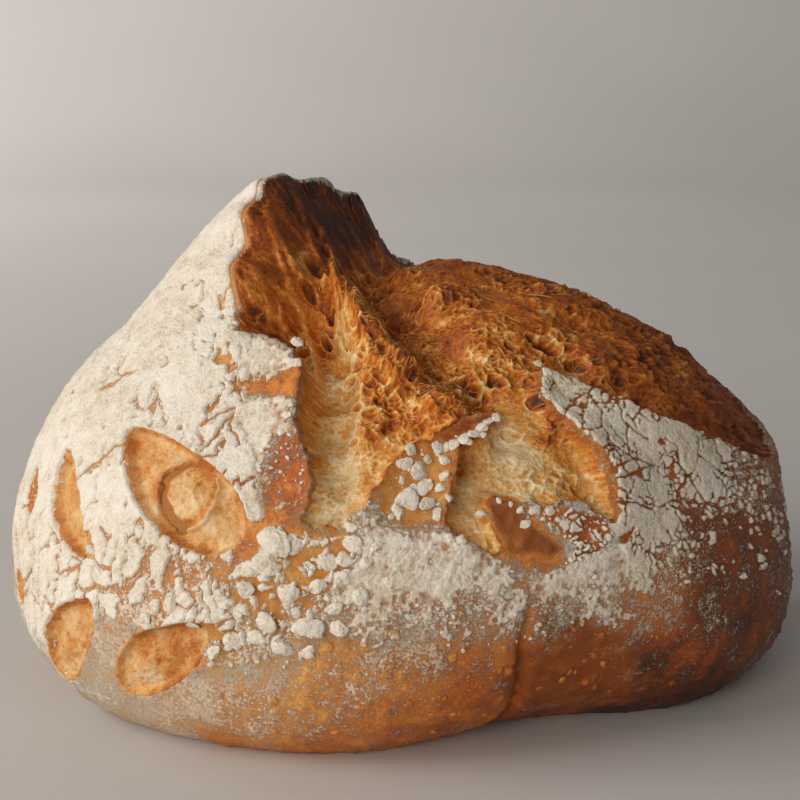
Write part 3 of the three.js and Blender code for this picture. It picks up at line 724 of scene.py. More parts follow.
# Large bubbles that were torn open: place, half length, half width, turn in degrees, depth.
BUBBLES = [
    (-7.5, 1, 4.2, 2.2, -10, 2.2), (-16, 6, 2.4, 1.8, 0, 1.4), (-13, -6, 2.6, 1.7, -20, 1.5),
    (-3, -9, 2.6, 1.6, -30, 1.4), (-14, -18, 2.2, 1.4, -10, 1.1), (3, 3, 2.5, 2.0, -45, 1.6),
    (9, 0, 2.0, 1.6, -30, 1.4), (-12, 20, 3.0, 2.0, -40, 1.8), (29, 3, 3.4, 2.4, -20, 2.6),
    (40, -4, 3.0, 2.1, -30, 1.6), (33, -14, 3.0, 1.6, -25, 0.8), (46, 20, 4.5, 3.0, -15, 4.5),
    (41, 22, 2.5, 1.7, -15, 3.5), (55, 15, 3.6, 2.0, -20, 2.2), (22, 34, 4.0, 2.4, -20, 2.0),
    (8, 52, 4.5, 2.2, -5, 2.0), (70, 30, 5.0, 2.6, -20, 1.8), (-22, 52, 4.0, 3.0, 20, 3.0),
    (-17, 45, 2.4, 2.0, 0, 3.0), (-9, 62, 4.0, 2.4, 0, 2.4), (32, 62, 6.0, 3.0, -10, 1.6),
    (58, 84, 6.0, 3.2, -10, 1.6), (92, 36, 5.0, 2.6, -25, 1.6), (12, 98, 6.0, 3.0, 0, 1.6),
    (-26, 28.5, 2.6, 1.8, 80, 3.2), (-27, 51, 4.2, 2.4, 80, 2.6), (-29, 41, 2.6, 2.0, 60, 2.6),
    (-36, 23, 3.6, 2.0, 60, 2.6), (-32, 21, 2.4, 1.8, 30, 2.4), (-19.4, 61, 5.0, 2.6, 80, 2.8),
    (-23, 36, 2.2, 1.6, 40, 2.2),
]

grid_across = np.arange(-52, 138, 1.0)
grid_up = np.arange(-56, 166, 1.0)
grid_places = np.stack(np.meshgrid(grid_across, grid_up, indexing="ij"), -1).reshape(-1, 2)
turns = np.radians(np.array([row[2] for row in FIBRE_RUN], float)) * 2
run_rows = [(row[0], row[1], math.cos(turn), math.sin(turn)) for row, turn in zip(FIBRE_RUN, turns)]
run_double = blend(run_rows, grid_places, 3, 3)
run_angle = np.arctan2(run_double[:, 1], run_double[:, 0]) / 2
run_grid = np.stack([np.cos(run_angle), np.sin(run_angle)], 1).reshape(len(grid_across), len(grid_up), 2)


def fibre_run(places, curl, seed):
    """The direction of the fibres at places, curled by a slow noise."""
    x = np.clip(places[:, 0] - grid_across[0], 0, len(grid_across) - 1.001)
    y = np.clip(places[:, 1] - grid_up[0], 0, len(grid_up) - 1.001)
    column, row = x.astype(int), y.astype(int)
    part_x, part_y = (x - column)[:, None], (y - row)[:, None]
    run = (
        run_grid[column, row] * (1 - part_x) * (1 - part_y)
        + run_grid[column + 1, row] * part_x * (1 - part_y)
        + run_grid[column, row + 1] * (1 - part_x) * part_y
        + run_grid[column + 1, row + 1] * part_x * part_y
    )
    angle = np.arctan2(run[:, 1], run[:, 0]) + curl * noise(places, 6.5, seed)
    return np.stack([np.cos(angle), np.sin(angle)], 1)


def combed(places, size, length, curl, seed):
    """Noise drawn out along the fibres, with a spread of one."""
    total = noise(places, size, seed)
    stride = size * 0.6
    for way in (-1, 1):
        spot = places.copy()
        for _ in range(int(length / stride / 2)):
            spot = spot + way * stride * fibre_run(spot, curl, seed + 1)
            total += noise(spot, size, seed)
    return total / total.std()


# The torn crest: from the ear's foot it arches over the head of the left valley and runs down
# as the front ridge. Place, then how high it stands.
CREST = [
    (-46, 21, 1.5), (-41, 30, 3.0), (-34, 39, 4.5), (-26, 45, 5.5), (-19, 43, 6.0), (-14.5, 34, 5.0),
    (-9, 20, 4.0), (0, 7, 3.2), (11, -5, 3.0), (19, -12.5, 2.6), (24, -17, 1.2),
]
CREST_STEEP, CREST_GENTLE = 2.6, 7.0


def sway(places, amount, size, layers, seed):
    """How far to move places to and fro, by about so many mm, so that what is drawn on them bends."""
    return amount * np.stack([rough(places, size, layers, seed), rough(places, size, layers, seed + 1)], 1)


def crest_relief(places):
    """The height of the torn crest, steep towards the left valley and gentle behind."""
    line = np.array(CREST)
    bent = places + sway(places, 1.6, 5, 1, 120)
    nearest = np.full(len(places), np.inf)
    tall = np.zeros(len(places))
    behind = np.zeros(len(places))
    for start, end in zip(line[:-1], line[1:]):
        edge = end[:2] - start[:2]
        away = bent - start[:2]
        along = np.clip(away @ edge / (edge @ edge), 0, 1)
        distance = np.linalg.norm(away - along[:, None] * edge, axis=1)
        closer = distance < nearest
        side = edge[0] * away[:, 1] - edge[1] * away[:, 0]
        behind = np.where(closer, side > 0, behind)
        tall = np.where(closer, start[2] + along * (end[2] - start[2]), tall)
        nearest = np.minimum(nearest, distance)
    tall = tall * (1 + 0.3 * noise(places, 3.2, 122))
    reach = np.where(behind > 0, CREST_GENTLE, CREST_STEEP)
    return tall * np.exp(-((nearest / reach) ** 1.4))


# Thin torn lips that stand up from the crest: height, width, how much paler than the crumb,
# then the places they run through. The last is the strip that curls down from the flap's tip.
TORN_LIPS = [
    (2.8, 1.1, 0.5, [(-45.6, 14.4), (-42.8, 18.3), (-40.1, 23), (-38.2, 26.2), (-35.6, 31.2), (-33, 36.1)]),
    (2.2, 0.8, 0.7, [(-33, 36.1), (-31.2, 29.6), (-29.9, 23.2), (-28.3, 19.3), (-27.5, 13.6),
                     (-26.4, 5.8)]),
    (3.0, 1.3, 0.2, [(-24.1, 66.6), (-21.6, 52), (-19.3, 40), (-16.6, 32.2), (-12.6, 26.4),
                     (-11.5, 20.5), (-9.9, 15), (-7.5, 10.6), (-4.5, 6.6), (-0.8, 1.4)]),
    (2.0, 0.9, 0.4, [(-36.4, 54.8), (-32.4, 45.8), (-27.6, 41.2), (-23.6, 41.9), (-20.2, 43)]),
    (1.8, 0.8, 0.4, [(-33.2, 38.1), (-30, 37.5), (-25.6, 36.8), (-21.6, 33.8), (-18.9, 31.2)]),
    (1.8, 0.9, 0.3, [(-36.4, 72.1), (-34.9, 58.3), (-34.5, 47.2), (-33, 36.8)]),
    (1.8, 0.7, 0.8, [(-19.6, 40.1), (-20.8, 34), (-22.2, 29.4), (-19.2, 22.6), (-15.4, 14), (-12.9, 11.7)]),
    (2.0, 0.9, 0.3, [(-29, 65.6), (-24.6, 51.6), (-22.3, 41.8), (-18.9, 31.2), (-17.2, 23.6),
                     (-14.1, 18.8)]),
    (1.4, 0.8, 0.5, [(-15.8, 13), (-9.8, 9.9), (-4.1, 9.9)]),
    (1.2, 0.8, 0.6, [(-13.8, 5.5), (-8, 2.7), (-1.2, 6.7)]),
    (1.6, 1.0, 0.2, [(-0.8, 1.4), (1.1, -0.8), (5.5, -5.5), (9.8, -10.5), (16, -14)]),
    (2.4, 1.3, -0.7, [(37.5, 4), (39, -1), (41.5, -6), (43.6, -12), (42.5, -15.6), (39.6, -15.2)]),
]


def distance_to_line(line, places):
    """Distance to an open line."""
    nearest = np.full(len(places), np.inf)
    for start, end in zip(line[:-1], line[1:]):
        edge = end - start
        along = np.clip((places - start) @ edge / (edge @ edge), 0, 1)
        nearest = np.minimum(nearest, np.linalg.norm(places - start - along[:, None] * edge, axis=1))
    return nearest


def lips_relief(places):
    """How high the torn lips stand, in mm, and how much paler they are."""
    tall = np.zeros(len(places))
    paler = np.zeros(len(places))
    bent = places + sway(places, 0.9, 3, 3, 124)
    ragged = 0.75 + 0.5 * rough(places, 2.2, 3, 126)
    for height, width, pale, line in TORN_LIPS:
        line = np.array(line, float)
        near = np.all((places > line.min(0) - 5) & (places < line.max(0) + 5), axis=1)
        ridge = bell(distance_to_line(line, bent[near]), width)
        tall[near] = np.maximum(tall[near], 1.5 * height * ridge * ragged[near])
        paler[near] += pale * ridge
    return tall, paler


# Bubbles by size: mm across, seed, depth, and the height and the width of the walls between.
BUBBLE_SIZES = [(7.4, 20, 1.8, 0.8, 0.5), (3.7, 24, 1.1, 0.6, 0.38), (1.9, 28, 0.55, 0.4, 0.27)]
# The wall round a large bubble: where it stands, in half widths, and how wide it is.
RING_PLACE, RING_WIDTH = 1.08, 0.13
# Tones between which the crumb turns burnt, and how far under the crust it keeps its relief.
BURNT_FROM, BURNT_TO = 0.72, 0.88
RELIEF_MARGIN = 0.8


def crumb_relief(places, distance, tone):
    """Fibres, bubbles and folds of the torn crumb, in mm over its plain form, with the painted shade
    deep in its bubbles, and how much on a wall or a thread each place is, which is drawn paler."""
    calm = smooth_step(60, 110, places[:, 1])
    burnt = smooth_step(BURNT_FROM, BURNT_TO, tone) * smooth_step(4, -8, places[:, 0])
    wild = smooth_step(0.3, 0.5, tone) * (1 - 0.5 * calm)
    silk = combed(places, 0.6, 7, 0.5, 60)
    net = combed(places, 1.4, 8, 1.0, 64)
    wide_net = combed(places, 3.2, 12, 1.2, 68)
    broad = combed(places, 6.5, 16, 0.5, 72)
    lines = 0.5 * bell(net, 0.24) + 0.6 * bell(wide_net, 0.12)
    lips, paler = lips_relief(places)
    relief = crest_relief(places) + lips + (0.05 * silk + 0.26 * lines) * (1 - 0.8 * burnt)
    relief += (0.15 + 0.15 * wild) * wide_net
    relief += broad * (0.35 + 0.5 * wild) + 0.3 * wild * rough(places, 3.0, 3, 130)
    relief += burnt * (0.8 * rough(places, 4.5, 4, 77) + 0.6 * np.abs(rough(places, 1.9, 3, 78)))
    # Painted shade: the hollows of the bubbles are drawn darker in the crumb's tone.
    bubble_shade = np.zeros(len(places))
    # The walls, threads and torn lips are drawn paler: partly their own paler colour, partly painted light.
    light = 0.5 * lines * (1 - 0.6 * burnt) + paler
    run = fibre_run(places, 0.6, 131)
    for size, seed, depth, wall_height, wall_width in BUBBLE_SIZES:
        torn = places + 0.16 * size * run * rough(places, 1.4, 2, seed + 52)[:, None]
        torn += sway(places, 0.24 * size, size, 1, seed + 50)
        first, second, number = cells(torn, size, seed)
        edge = (second - first) * size * 0.5
        found = smooth_step(-0.35, 0.35, noise(places, size * 2.2, seed + 53))
        there = (0.5 + 0.5 * wild) * found * (1 - 0.75 * burnt)
        wall = bell(edge, wall_width) * smooth_step(-0.6, 0.4, noise(places, 2.6, seed + 54))
        bowl = smooth_step(0.1, 0.32 * size, edge) * number**1.5
        relief += there * (wall_height * wall - depth * bowl)
        bubble_shade += there * bowl * (0.35 + 0.4 * depth)
        light += there * wall
    for across, up, half_length, half_width, turn, depth in BUBBLES:
        near = np.hypot(places[:, 0] - across, places[:, 1] - up) < half_length * 2.2
        away = places[near] - (across, up) + 0.5 * noise(places[near], 2.5, 90)[:, None]
        lean = math.radians(turn)
        along = away @ (math.cos(lean), math.sin(lean)) / half_length
        aside = away @ (-math.sin(lean), math.cos(lean)) / half_width
        ring = np.hypot(along, aside)
        bowl = np.clip(1 - ring**2, 0, 1)
        wall = bell(ring - RING_PLACE, RING_WIDTH)
        relief[near] -= depth * bowl**0.7
        relief[near] += 0.4 * wall
        light[near] += 0.7 * wall
        bubble_shade[near] += (0.3 + 0.4 * depth) * bowl
    settle = smooth_step(0.5, -3.5, distance)
    return relief * (0.25 + 0.75 * settle), bubble_shade, light, silk


def widening(start, end, fine_to, step, last_step):
    """Lines a step apart that widen after a place, so that what is near is finest."""
    lines = [start]
    while lines[-1] < end:
        part = max(0, (lines[-1] - fine_to) / (end - fine_to))
        lines.append(lines[-1] + step + (last_step - step) * part)
    return np.array(lines)


def chart_patch(lines_across, lines_up, keep):
    """A patch of the crust's chart, from a grid that is cut to a shape: its places and faces."""
    deselect_all()
    bpy.ops.mesh.primitive_grid_add(
        x_subdivisions=len(lines_across) - 1, y_subdivisions=len(lines_up) - 1, size=2
    )
    grid = bpy.context.object
    corners = get_points(grid) / 1000
    column = np.rint((corners[:, 0] + 1) / 2 * (len(lines_across) - 1)).astype(int)
    row = np.rint((corners[:, 1] + 1) / 2 * (len(lines_up) - 1)).astype(int)
    spots = np.stack([lines_across[column], lines_up[row]], 1)
    faces = np.empty(len(grid.data.loops), int)
    grid.data.loops.foreach_get("vertex_index", faces)
    bpy.data.meshes.remove(grid.data)
    faces = faces.reshape(-1, 4)
    faces = faces[keep(spots)[faces].all(1)]
    used, renumbered = np.unique(faces, return_inverse=True)
    return spots[used], renumbered.reshape(-1, 4)


def border_of(faces):
    """The edges that only one face has, in that face's order."""
    edges = np.concatenate([np.stack([faces[:, side], faces[:, (side + 1) % 4]], 1) for side in range(4)])
    key = np.sort(edges, 1)
    key = key[:, 0].astype(np.int64) * (faces.max() + 1) + key[:, 1]
    _, where, count = np.unique(key, return_index=True, return_counts=True)
    return edges[where[count == 1]]


def make_piece(name, points, faces):
    """A smooth mesh in the scene, from points in mm."""
    mesh = bpy.data.meshes.new(name)
    mesh.from_pydata(points / 1000, [], faces)
    mesh.validate()
    mesh.shade_smooth()
    piece = bpy.data.objects.new(name, mesh)
    bpy.context.scene.collection.objects.link(piece)
    return piece


CRUMB_MARGIN = 3.5
INNER_POINT = np.array([0, 0, CENTRE_HEIGHT]) + CENTRING


def closed_piece(name, spots, height, faces):
    """A piece of a patch that lies so high over the oval form, closed with a fan to a point
    inside the loaf."""
    points = np.vstack([crust_surface(spots, height), INNER_POINT])
    border = border_of(faces)
    fan = np.column_stack([border[:, 1], border[:, 0], np.full(len(border), len(spots))])
    return make_piece(name, points, faces.tolist() + fan.tolist())


# The front of the burst, which is seen closest, is a piece of its own. The dome and the ear's
# inner face behind it are another, in a wider mesh.
FRONT_PART = soften([
    (-34, -50), (-34, 18), (-30, 34), (-12, 50), (16, 46), (48, 30), (66, 16), (66, -44), (36, -56),
], 1)


def make_crumb(name, lines_across, lines_up, keep, sink):
    """A piece of the torn crumb over part of the burst."""
    spots, faces = chart_patch(lines_across, lines_up, keep)
    distance = burst_distance(spots)
    tone = blend(CRUMB_TONE, spots, 3, 2)[:, 0]
    relief, bubble_shade, light, silk = crumb_relief(spots, distance, tone)
    height = crumb_height(spots, distance) + relief * (distance < RELIEF_MARGIN) - sink(spots)
    piece = closed_piece(name, spots, height, faces)
    burnt = smooth_step(BURNT_FROM, BURNT_TO, tone)
    # The tone holds painted shade in the bubbles' hollows, and paler walls and threads that are partly
    # painted light.
    paler = 0.2 + 0.14 * smooth_step(0.45, 0.25, tone)
    shade = tone + 0.02 * np.clip(relief, -3, 3) + 0.26 * bubble_shade - paler * (light - 0.22) - 0.012 * silk
    shade += 0.08 * rough(spots, 7, 3, 95) + 0.14 * burnt * rough(spots, 2.6, 4, 96)
    # Painted shadow: the crumb is drawn darker along the crust's torn edge, where the crust shades it.
    shade += 0.14 * bell(distance, 1.2)
    set_attribute(piece, "tone", np.clip(shade, 0, 1), 0.5)
    return piece


FRONT_STEP = 0.29
front_crumb = make_crumb(
    "front_crumb", np.arange(-36, 67, FRONT_STEP), np.arange(-54, 50, FRONT_STEP),
    lambda spots: (burst_distance(spots) < CRUMB_MARGIN) & (distance_to(FRONT_PART, spots) < 0),
    lambda spots: 0,
)
DOME_STEP, DOME_LAST_STEP, DOME_OVERLAP, DOME_SINK = 0.52, 1.0, 4, 1.2
dome_crumb = make_crumb(
    "dome_crumb",
    widening(-51, 137, 40, DOME_STEP, DOME_LAST_STEP), widening(-52, 160, 50, DOME_STEP, DOME_LAST_STEP),
    lambda spots: (burst_distance(spots) < CRUMB_MARGIN) & (distance_to(FRONT_PART, spots) > -DOME_OVERLAP),
    lambda spots: DOME_SINK * smooth_step(-0.3, -3, distance_to(FRONT_PART, spots)),
)

# Torn crumb: bare, matt and a little see-through, cream inside and toasted on every strand
# that stood up into the oven's heat. Its tone also carries painted shade and painted light.
torn_crumb = new_material("torn_toasted_crumb")
spot = add_node(torn_crumb, "TexCoord", output="Object")
tone_value = add_node(torn_crumb, "Attribute", output="Fac", attribute_name="tone")
mottle = add_node(torn_crumb, "TexNoise", {"Vector": spot, "Scale": 230, "Detail": 5, "Roughness": 0.65})
grain = add_node(torn_crumb, "TexNoise", {"Vector": spot, "Scale": 1100, "Detail": 2})
varied = add_patterns(torn_crumb, tone_value, ((mottle, 0.36), (grain, 0.4)))
varied = add_node(torn_crumb, "Math", {0: varied, 1: 0.38}, operation="SUBTRACT")
coloured = add_node(torn_crumb, "ValToRGB", {"Fac": varied}, [
    (0.0, "#f4e4bf"), (0.18, "#e8c992"), (0.36, "#d89d4b"), (0.53, "#c06c1c"), (0.7, "#964a12"),
    (0.86, "#623012"), (1.0, "#3b2214"),
])
raised = add_patterns(torn_crumb, mottle, ((grain, 0.3),))
bump = add_node(torn_crumb, "Bump", {"Height": raised, "Distance": 0.0007, "Strength": 0.8})
surface = add_node(torn_crumb, "BsdfPrincipled", {
    "Base Color": coloured, "Roughness": 0.55, "Normal": bump, "IOR": 1.4,
    "Subsurface Weight": 0.25, "Subsurface Radius": (1.0, 0.45, 0.2), "Subsurface Scale": 0.0012,
})
add_node(torn_crumb, "OutputMaterial", {"Surface": surface})
for piece in (front_crumb, dome_crumb):
    piece.data.materials.append(torn_crumb)
    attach(piece, "root")
    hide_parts("loaf")

# The floors of the leaf-shaped scores that show: thin golden skin that dried under the blade.
# The first leaf holds an eye, where the skin rose in a ring and split down its left side.
EYE_MIDDLE, EYE_RADIUS = np.array([-57, -29.5]), 9.0
EYE_SPLIT = np.array([(-64.6, -29), (-63.3, -32.5), (-61.5, -36), (-58.2, -39.5)], float)
SWIRL_MIDDLE, SWIRL_RADIUS = np.array([-51.5, -30]), 3.6


def score_relief(spots, inside):
    """The eye, the pores and the fine wrinkles of a score's floor, in mm."""
    relief = 0.35 * rough(spots, 3.2, 3, 140) + 0.3 * rough(spots, 1.1, 2, 141)
    first, _, number = cells(spots, 2.6, 60)
    relief -= 0.5 * np.clip(1 - (first / (0.12 + 0.14 * number)) ** 2, 0, 1) * (number > 0.6)
    ring = np.hypot(*(spots - EYE_MIDDLE).T * np.array([[1.0], [0.92]])) + 0.9 * noise(spots, 4, 15)
    deep = smooth_step(1.2, 2.4, inside)
    relief += deep * 1.1 * bell(ring - EYE_RADIUS, 0.5)
    relief -= deep * 1.2 * bell(ring - EYE_RADIUS + 1.4, 0.8) * smooth_step(-52, -60, spots[:, 0])
    relief += 0.5 * (1 - smooth_step(0, EYE_RADIUS, ring))
    swirl = np.hypot(*(spots - SWIRL_MIDDLE).T) + 0.7 * noise(spots, 2.5, 16)
    relief += 0.7 * bell(swirl - SWIRL_RADIUS, 0.55) - 0.6 * bell(swirl, 2.4)
    split = distance_to_line(EYE_SPLIT, spots) + 0.35 * noise(spots, 1.5, 17)
    pit = np.hypot(spots[:, 0] + 64.0, spots[:, 1] + 24.6) + 0.3 * noise(spots, 1.2, 18)
    holes = np.exp(-((split / 1.0) ** 4)) + np.exp(-((pit / 1.1) ** 4))
    return relief - (2.6 + 0.8 * rough(spots, 1.4, 2, 144)) * holes, holes


SCORE_STEP = 0.36
score_spots, score_faces = chart_patch(
    np.arange(-134, -36, SCORE_STEP), np.arange(-86, 2, SCORE_STEP),
    lambda tried: leaf_depth_inside(tried) > -1.2,
)
inside = leaf_depth_inside(score_spots)
relief, holes = score_relief(score_spots, inside)
score_height = dressed_height(score_spots, burst_distance(score_spots))
score_height += np.where(inside > 0, 0.25, 0.25 + inside * 0.8) + relief * smooth_step(-0.4, 1.5, inside)
leaf_scores = closed_piece("leaf_scores", score_spots, score_height, score_faces)
score_cover = blend(COVER, score_spots, 4, 4)
up = score_spots[:, 1]
# Painted shadow: the splits and the pit are drawn darker towards their lower end; they are also darker at
# their rims and dusty at their upper end.
hole_toast_and_shade = 0.1 + 0.7 * smooth_step(-31, -39, up) + 0.5 * rough(score_spots, 1.6, 2, 145)
depth_tone = 0.44 + 0.2 * noise(score_spots, 7, 142) + 0.16 * noise(score_spots, 2.2, 143)
depth_tone += 0.14 * np.clip(relief, -1, 1) - 0.2 * smooth_step(1.6, 0, inside)
eye_ring = np.hypot(*(score_spots - EYE_MIDDLE).T) + 0.9 * noise(score_spots, 4, 15)
depth_tone -= 0.3 * bell(eye_ring - EYE_RADIUS + 1.2, 1.3) * (inside > 0)
dust = 0.3 * (inside > 0) * score_cover[:, 1] + 0.55 * holes * smooth_step(-38, -33, up)
set_attribute(leaf_scores, "dust", dust)
set_attribute(leaf_scores, "toast", score_cover[:, 2] + holes * hole_toast_and_shade + 2.2 * holes * (1 - holes))
set_attribute(leaf_scores, "score", 1 - np.clip(holes, 0, 1), 1)
set_attribute(leaf_scores, "score_depth", np.clip(depth_tone, -0.2, 1))
for empty_layer in ("flour", "stem", "gloss", "torn"):
    set_attribute(leaf_scores, empty_layer, 0 * inside)
set_attribute(leaf_scores, "place", np.column_stack([score_spots, 0 * inside]) / 1000)
leaf_scores.data.materials.append(baked_crust)
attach(leaf_scores, "root")
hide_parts("loaf")

# ---------------------------------------------------------------------------- the cracked flour
# Flour that lay thick on the dough dried to a skin and cracked as the loaf swelled: into long
# fingers on the left, a mosaic on the right flap and small flakes on the front.


def crust_frame(places):
    """Points on the crust, in mm, with their outward normal and the two ways along it."""
    spots = np.atleast_2d(places)

    def at(shifted):
        return crust_surface(shifted, dressed_height(shifted, burst_distance(shifted)))

    middle = at(spots)
    way_across = at(spots + (1.2, 0)) - middle
    way_up = at(spots + (0, 1.2)) - middle
    normal = np.cross(way_across, way_up)
    normal /= np.linalg.norm(normal, axis=1)[:, None]
    way_across /= np.linalg.norm(way_across, axis=1)[:, None]
    return middle, normal, way_across, np.cross(normal, way_across)


def flour_thickness(
    places, flour, cell, stretch, turn, crack_share, crack_width, seed, gate, more_cracks, fewer_small
):
    """How thick the dried flour lies, from 0 to 1: cracked where it is dense, in lumps where
    it is thin. Cells are cell mm wide, stretched and turned by so many degrees; the gate says
    over how many cells the cracks come and go."""
    lean = math.radians(turn)
    bent = places + sway(places, 1.7, 6, 3, seed)
    bent += sway(places, 0.6, 1.6, 2, seed + 2)
    turned = np.stack([
        bent @ (math.cos(lean), math.sin(lean)),
        bent @ (-math.sin(lean), math.cos(lean)) / stretch,
    ], 1)
    thick = np.ones(len(places))
    thin = np.clip(1.0 - flour, 0, 1)
    for size, share, width in (
        (1.9, crack_share, 1.0),
        (1.0, crack_share - 0.08, 0.8),
        (0.48, crack_share - 0.2 - fewer_small, 0.5),
    ):
        first, second, number = cells(turned, cell * size, seed % 90 + 7)
        edge = (second - first) * cell * size * 0.5
        whole = 0.62 * noise(places, gate * cell * size, seed + 11) + 0.5 - share
        open_here = smooth_step(0.10, -0.12, whole - 0.9 * thin - more_cracks)
        half_width = crack_width * width * (0.55 + 0.7 * noise(places, 5, seed + 12))
        half_width = np.maximum(half_width + 1.5 * thin**1.8 * size, 0) * open_here
        thick *= np.where(half_width > 0.02, smooth_step(half_width * 0.6, half_width * 0.6 + 0.28, edge), 1)
        gone = (number < smooth_step(0.35, 1.05, thin) * 0.95) & (size <= 1.0)
        thick *= 1 - gone
    return thick


SKIN_SUNK, FLOUR_HEIGHT = 0.5, 0.75
# On the lower left the flour cracked into long fingers that end above the lowest scores.
FINGER_PART = [
    (-128, -18), (-100, -20), (-80, -36), (-66, -42), (-58, -48), (-60, -62), (-84, -60),
    (-112, -62), (-132, -50),
]


def skin_reach(spots):
    """How far inside its outline a skin has its full height: far on the back, where the skin
    has to run out unseen into the crust's own flour."""
    return 2.5 + 9 * smooth_step(50, 75, spots[:, 1]) + 6 * smooth_step(-104, -124, spots[:, 0])


def skin_patch(outline, step):
    """The places and faces of a skin over one part of the crust, with their distances to the
    burst."""
    low, high = outline.min(0), outline.max(0)
    spots, faces = chart_patch(
        np.arange(low[0], high[0] + step, step), np.arange(low[1], high[1] + step, step),
        lambda tried: (distance_to(outline, tried) < 0) & (burst_distance(tried) > -0.3),
    )
    return spots, faces, burst_distance(spots)


def clear_edges(thick, spots, distance, start, end, size, amount, seed):
    """Takes the flour away up to start mm from the burst, some of it up to end mm, and all of
    it in the scores."""
    thick = thick * smooth_step(start, end, distance + amount * noise(spots, size, seed))
    return thick * smooth_step(0.35, -0.5, leaf_depth_inside(spots) + 0.3 * noise(spots, 1.5, seed + 1))


def lay_skin(name, outline, spots, faces, distance, rise, tone):
    """The closed mesh of a skin that rises so far over the crust and dives under it at its
    outline."""
    inner = smooth_step(0.5, skin_reach(spots), -distance_to(outline, spots))
    highest = -SKIN_SUNK + inner * (SKIN_SUNK + FLOUR_HEIGHT * 1.3)
    held_down = np.where(inner < 1, np.minimum(rise, highest), rise)
    piece = closed_piece(name, spots, dressed_height(spots, distance) + held_down, faces)
    set_attribute(piece, "plate_tone", tone, 0.5)
    set_attribute(piece, "rise", np.clip(rise, -1, 2))
    return piece


def make_flour_skin(
    name, outline, step, cell, stretch, turn, crack_share, crack_width, seed,
    density=None, tall=1.0, gate=3.2, painted_shade=0,
):
    """A skin of dried flour over one part of the crust, in a mesh of step mm. Where there is
    no flour it lies hidden under the crust. The density stands for the flour of COVER."""
    outline = np.array(outline, float)
    spots, faces, distance = skin_patch(outline, step)
    flour = blend(COVER, spots, 4, 4)[:, 0] if density is None else np.full(len(spots), density)
    flour = flour + 0.12 * noise(spots, 5, seed + 40)
    in_fingers = smooth_step(2, -6, distance_to(np.array(FINGER_PART, float), spots))
    flour = flour - 0.12 * in_fingers * smooth_step(-48, -60, spots[:, 1])
    thick = flour_thickness(
        spots, flour, cell, stretch, turn, crack_share, crack_width, seed, gate,
        0.6 * in_fingers, 0.8 * in_fingers,
    )
    on_lip = smooth_step(18, 30, spots[:, 1]) * smooth_step(-8, -16, spots[:, 0])
    start, end = 0.15 + 0.7 * on_lip, 0.9 + 1.9 * on_lip
    thick = clear_edges(thick, spots, distance, start, end, 1.4, 0.5 * (1 - on_lip), seed + 20)
    lumpy = 0.16 * rough(spots, 2.4, 3, seed + 22) + 0.09 * rough(spots, 1.2, 2, seed + 23)
    full_height = SKIN_SUNK + tall * FLOUR_HEIGHT * (0.75 + 0.5 * thick)
    rise = -SKIN_SUNK + full_height * thick**0.8 + lumpy * thick
    # A lower plate tone paints shade: the flour of a skin on the loaf's shaded right side is drawn darker.
    tone = 0.5 + 0.5 * noise(spots, 9, seed + 30) - painted_shade
    return lay_skin(name, outline, spots, faces, distance, rise, tone)


def make_powder_skin(name, outline, step, seed):
    """Loose flour that never cracked: a soft heap where it is dense, single grains where it
    thins out."""
    outline = np.array(outline, float)
    spots, faces, distance = skin_patch(outline, step)
    flour = blend(COVER, spots, 4, 4)[:, 0]
    patchy = 0.36 * rough(spots, 1.2, 2, seed) + 0.3 * rough(spots, 4.5, 3, seed + 1)
    flour = 0.06 + flour + (1.15 - 0.7 * np.clip(flour, 0, 1)) * patchy
    thick = clear_edges(smooth_step(0.5, 0.8, flour), spots, distance, 0.1, 1.1, 1.5, 0.7, seed + 2)
    heap = 0.3 + 0.3 * smooth_step(0.7, 1.2, flour) + 0.14 * rough(spots, 3.2, 3, seed + 4)
    heap += 0.12 * rough(spots, 0.9, 2, seed + 5)
    rise = -SKIN_SUNK + (SKIN_SUNK + heap) * thick
    return lay_skin(name, outline, spots, faces, distance, rise, 0.3 + 0.5 * noise(spots, 9, seed + 6))


LEFT_HIGH_SKIN = [
    (-138, -12), (-128, 30), (-112, 62), (-80, 84), (-52, 92), (-30, 88), (-32, 66), (-34, 50),
    (-38, 22), (-40, 8), (-42, -12),
]
LEFT_LOW_SKIN = [
    (-132, -58), (-138, -20), (-140, 9), (-40, 9), (-42, -10), (-37, -20), (-34, -40), (-24, -42),
    (-20, -52), (-44, -69), (-70, -66), (-84, -58), (-112, -62),
]
FLAP_SKIN = [
    (36, 10), (60, 6), (95, 3), (122, 4), (138, 0), (140, -30), (134, -54), (100, -58), (76, -56),
    (64, -48), (56, -38), (54, -24), (46, -14), (38, -8),
]
WEDGE_SKIN = [
    (34, -34), (46, -33), (58, -34), (62, -42), (56, -50), (50, -52), (46, -50), (47, -46),
    (41, -42), (36, -38.5),
]
BROW_SKIN = [
    (-17, -46), (-10, -40), (0, -38), (10, -40), (18, -42), (26, -47), (34, -51), (42, -52),
    (48, -49), (56, -44), (64, -42), (78, -50), (80, -64), (60, -70), (36, -72), (20, -78),
    (0, -80), (-18, -76), (-26, -66),
]
TONGUE_SKIN = [
    (-46, 12), (-36, 22), (-24, 16), (-20, 0), (-20, -20), (-18, -42), (-30, -44), (-38, -38),
    (-40, -24), (-46, -12), (-47, -2),
]
STEM_SKIN = [
    (-62, -60), (-50, -55), (-42, -49), (-36, -44), (-30, -42), (-22, -45), (-12, -44), (-6, -46),
    (-8, -52), (-12, -60), (-22, -70), (-36, -78), (-54, -78), (-62, -70),
]

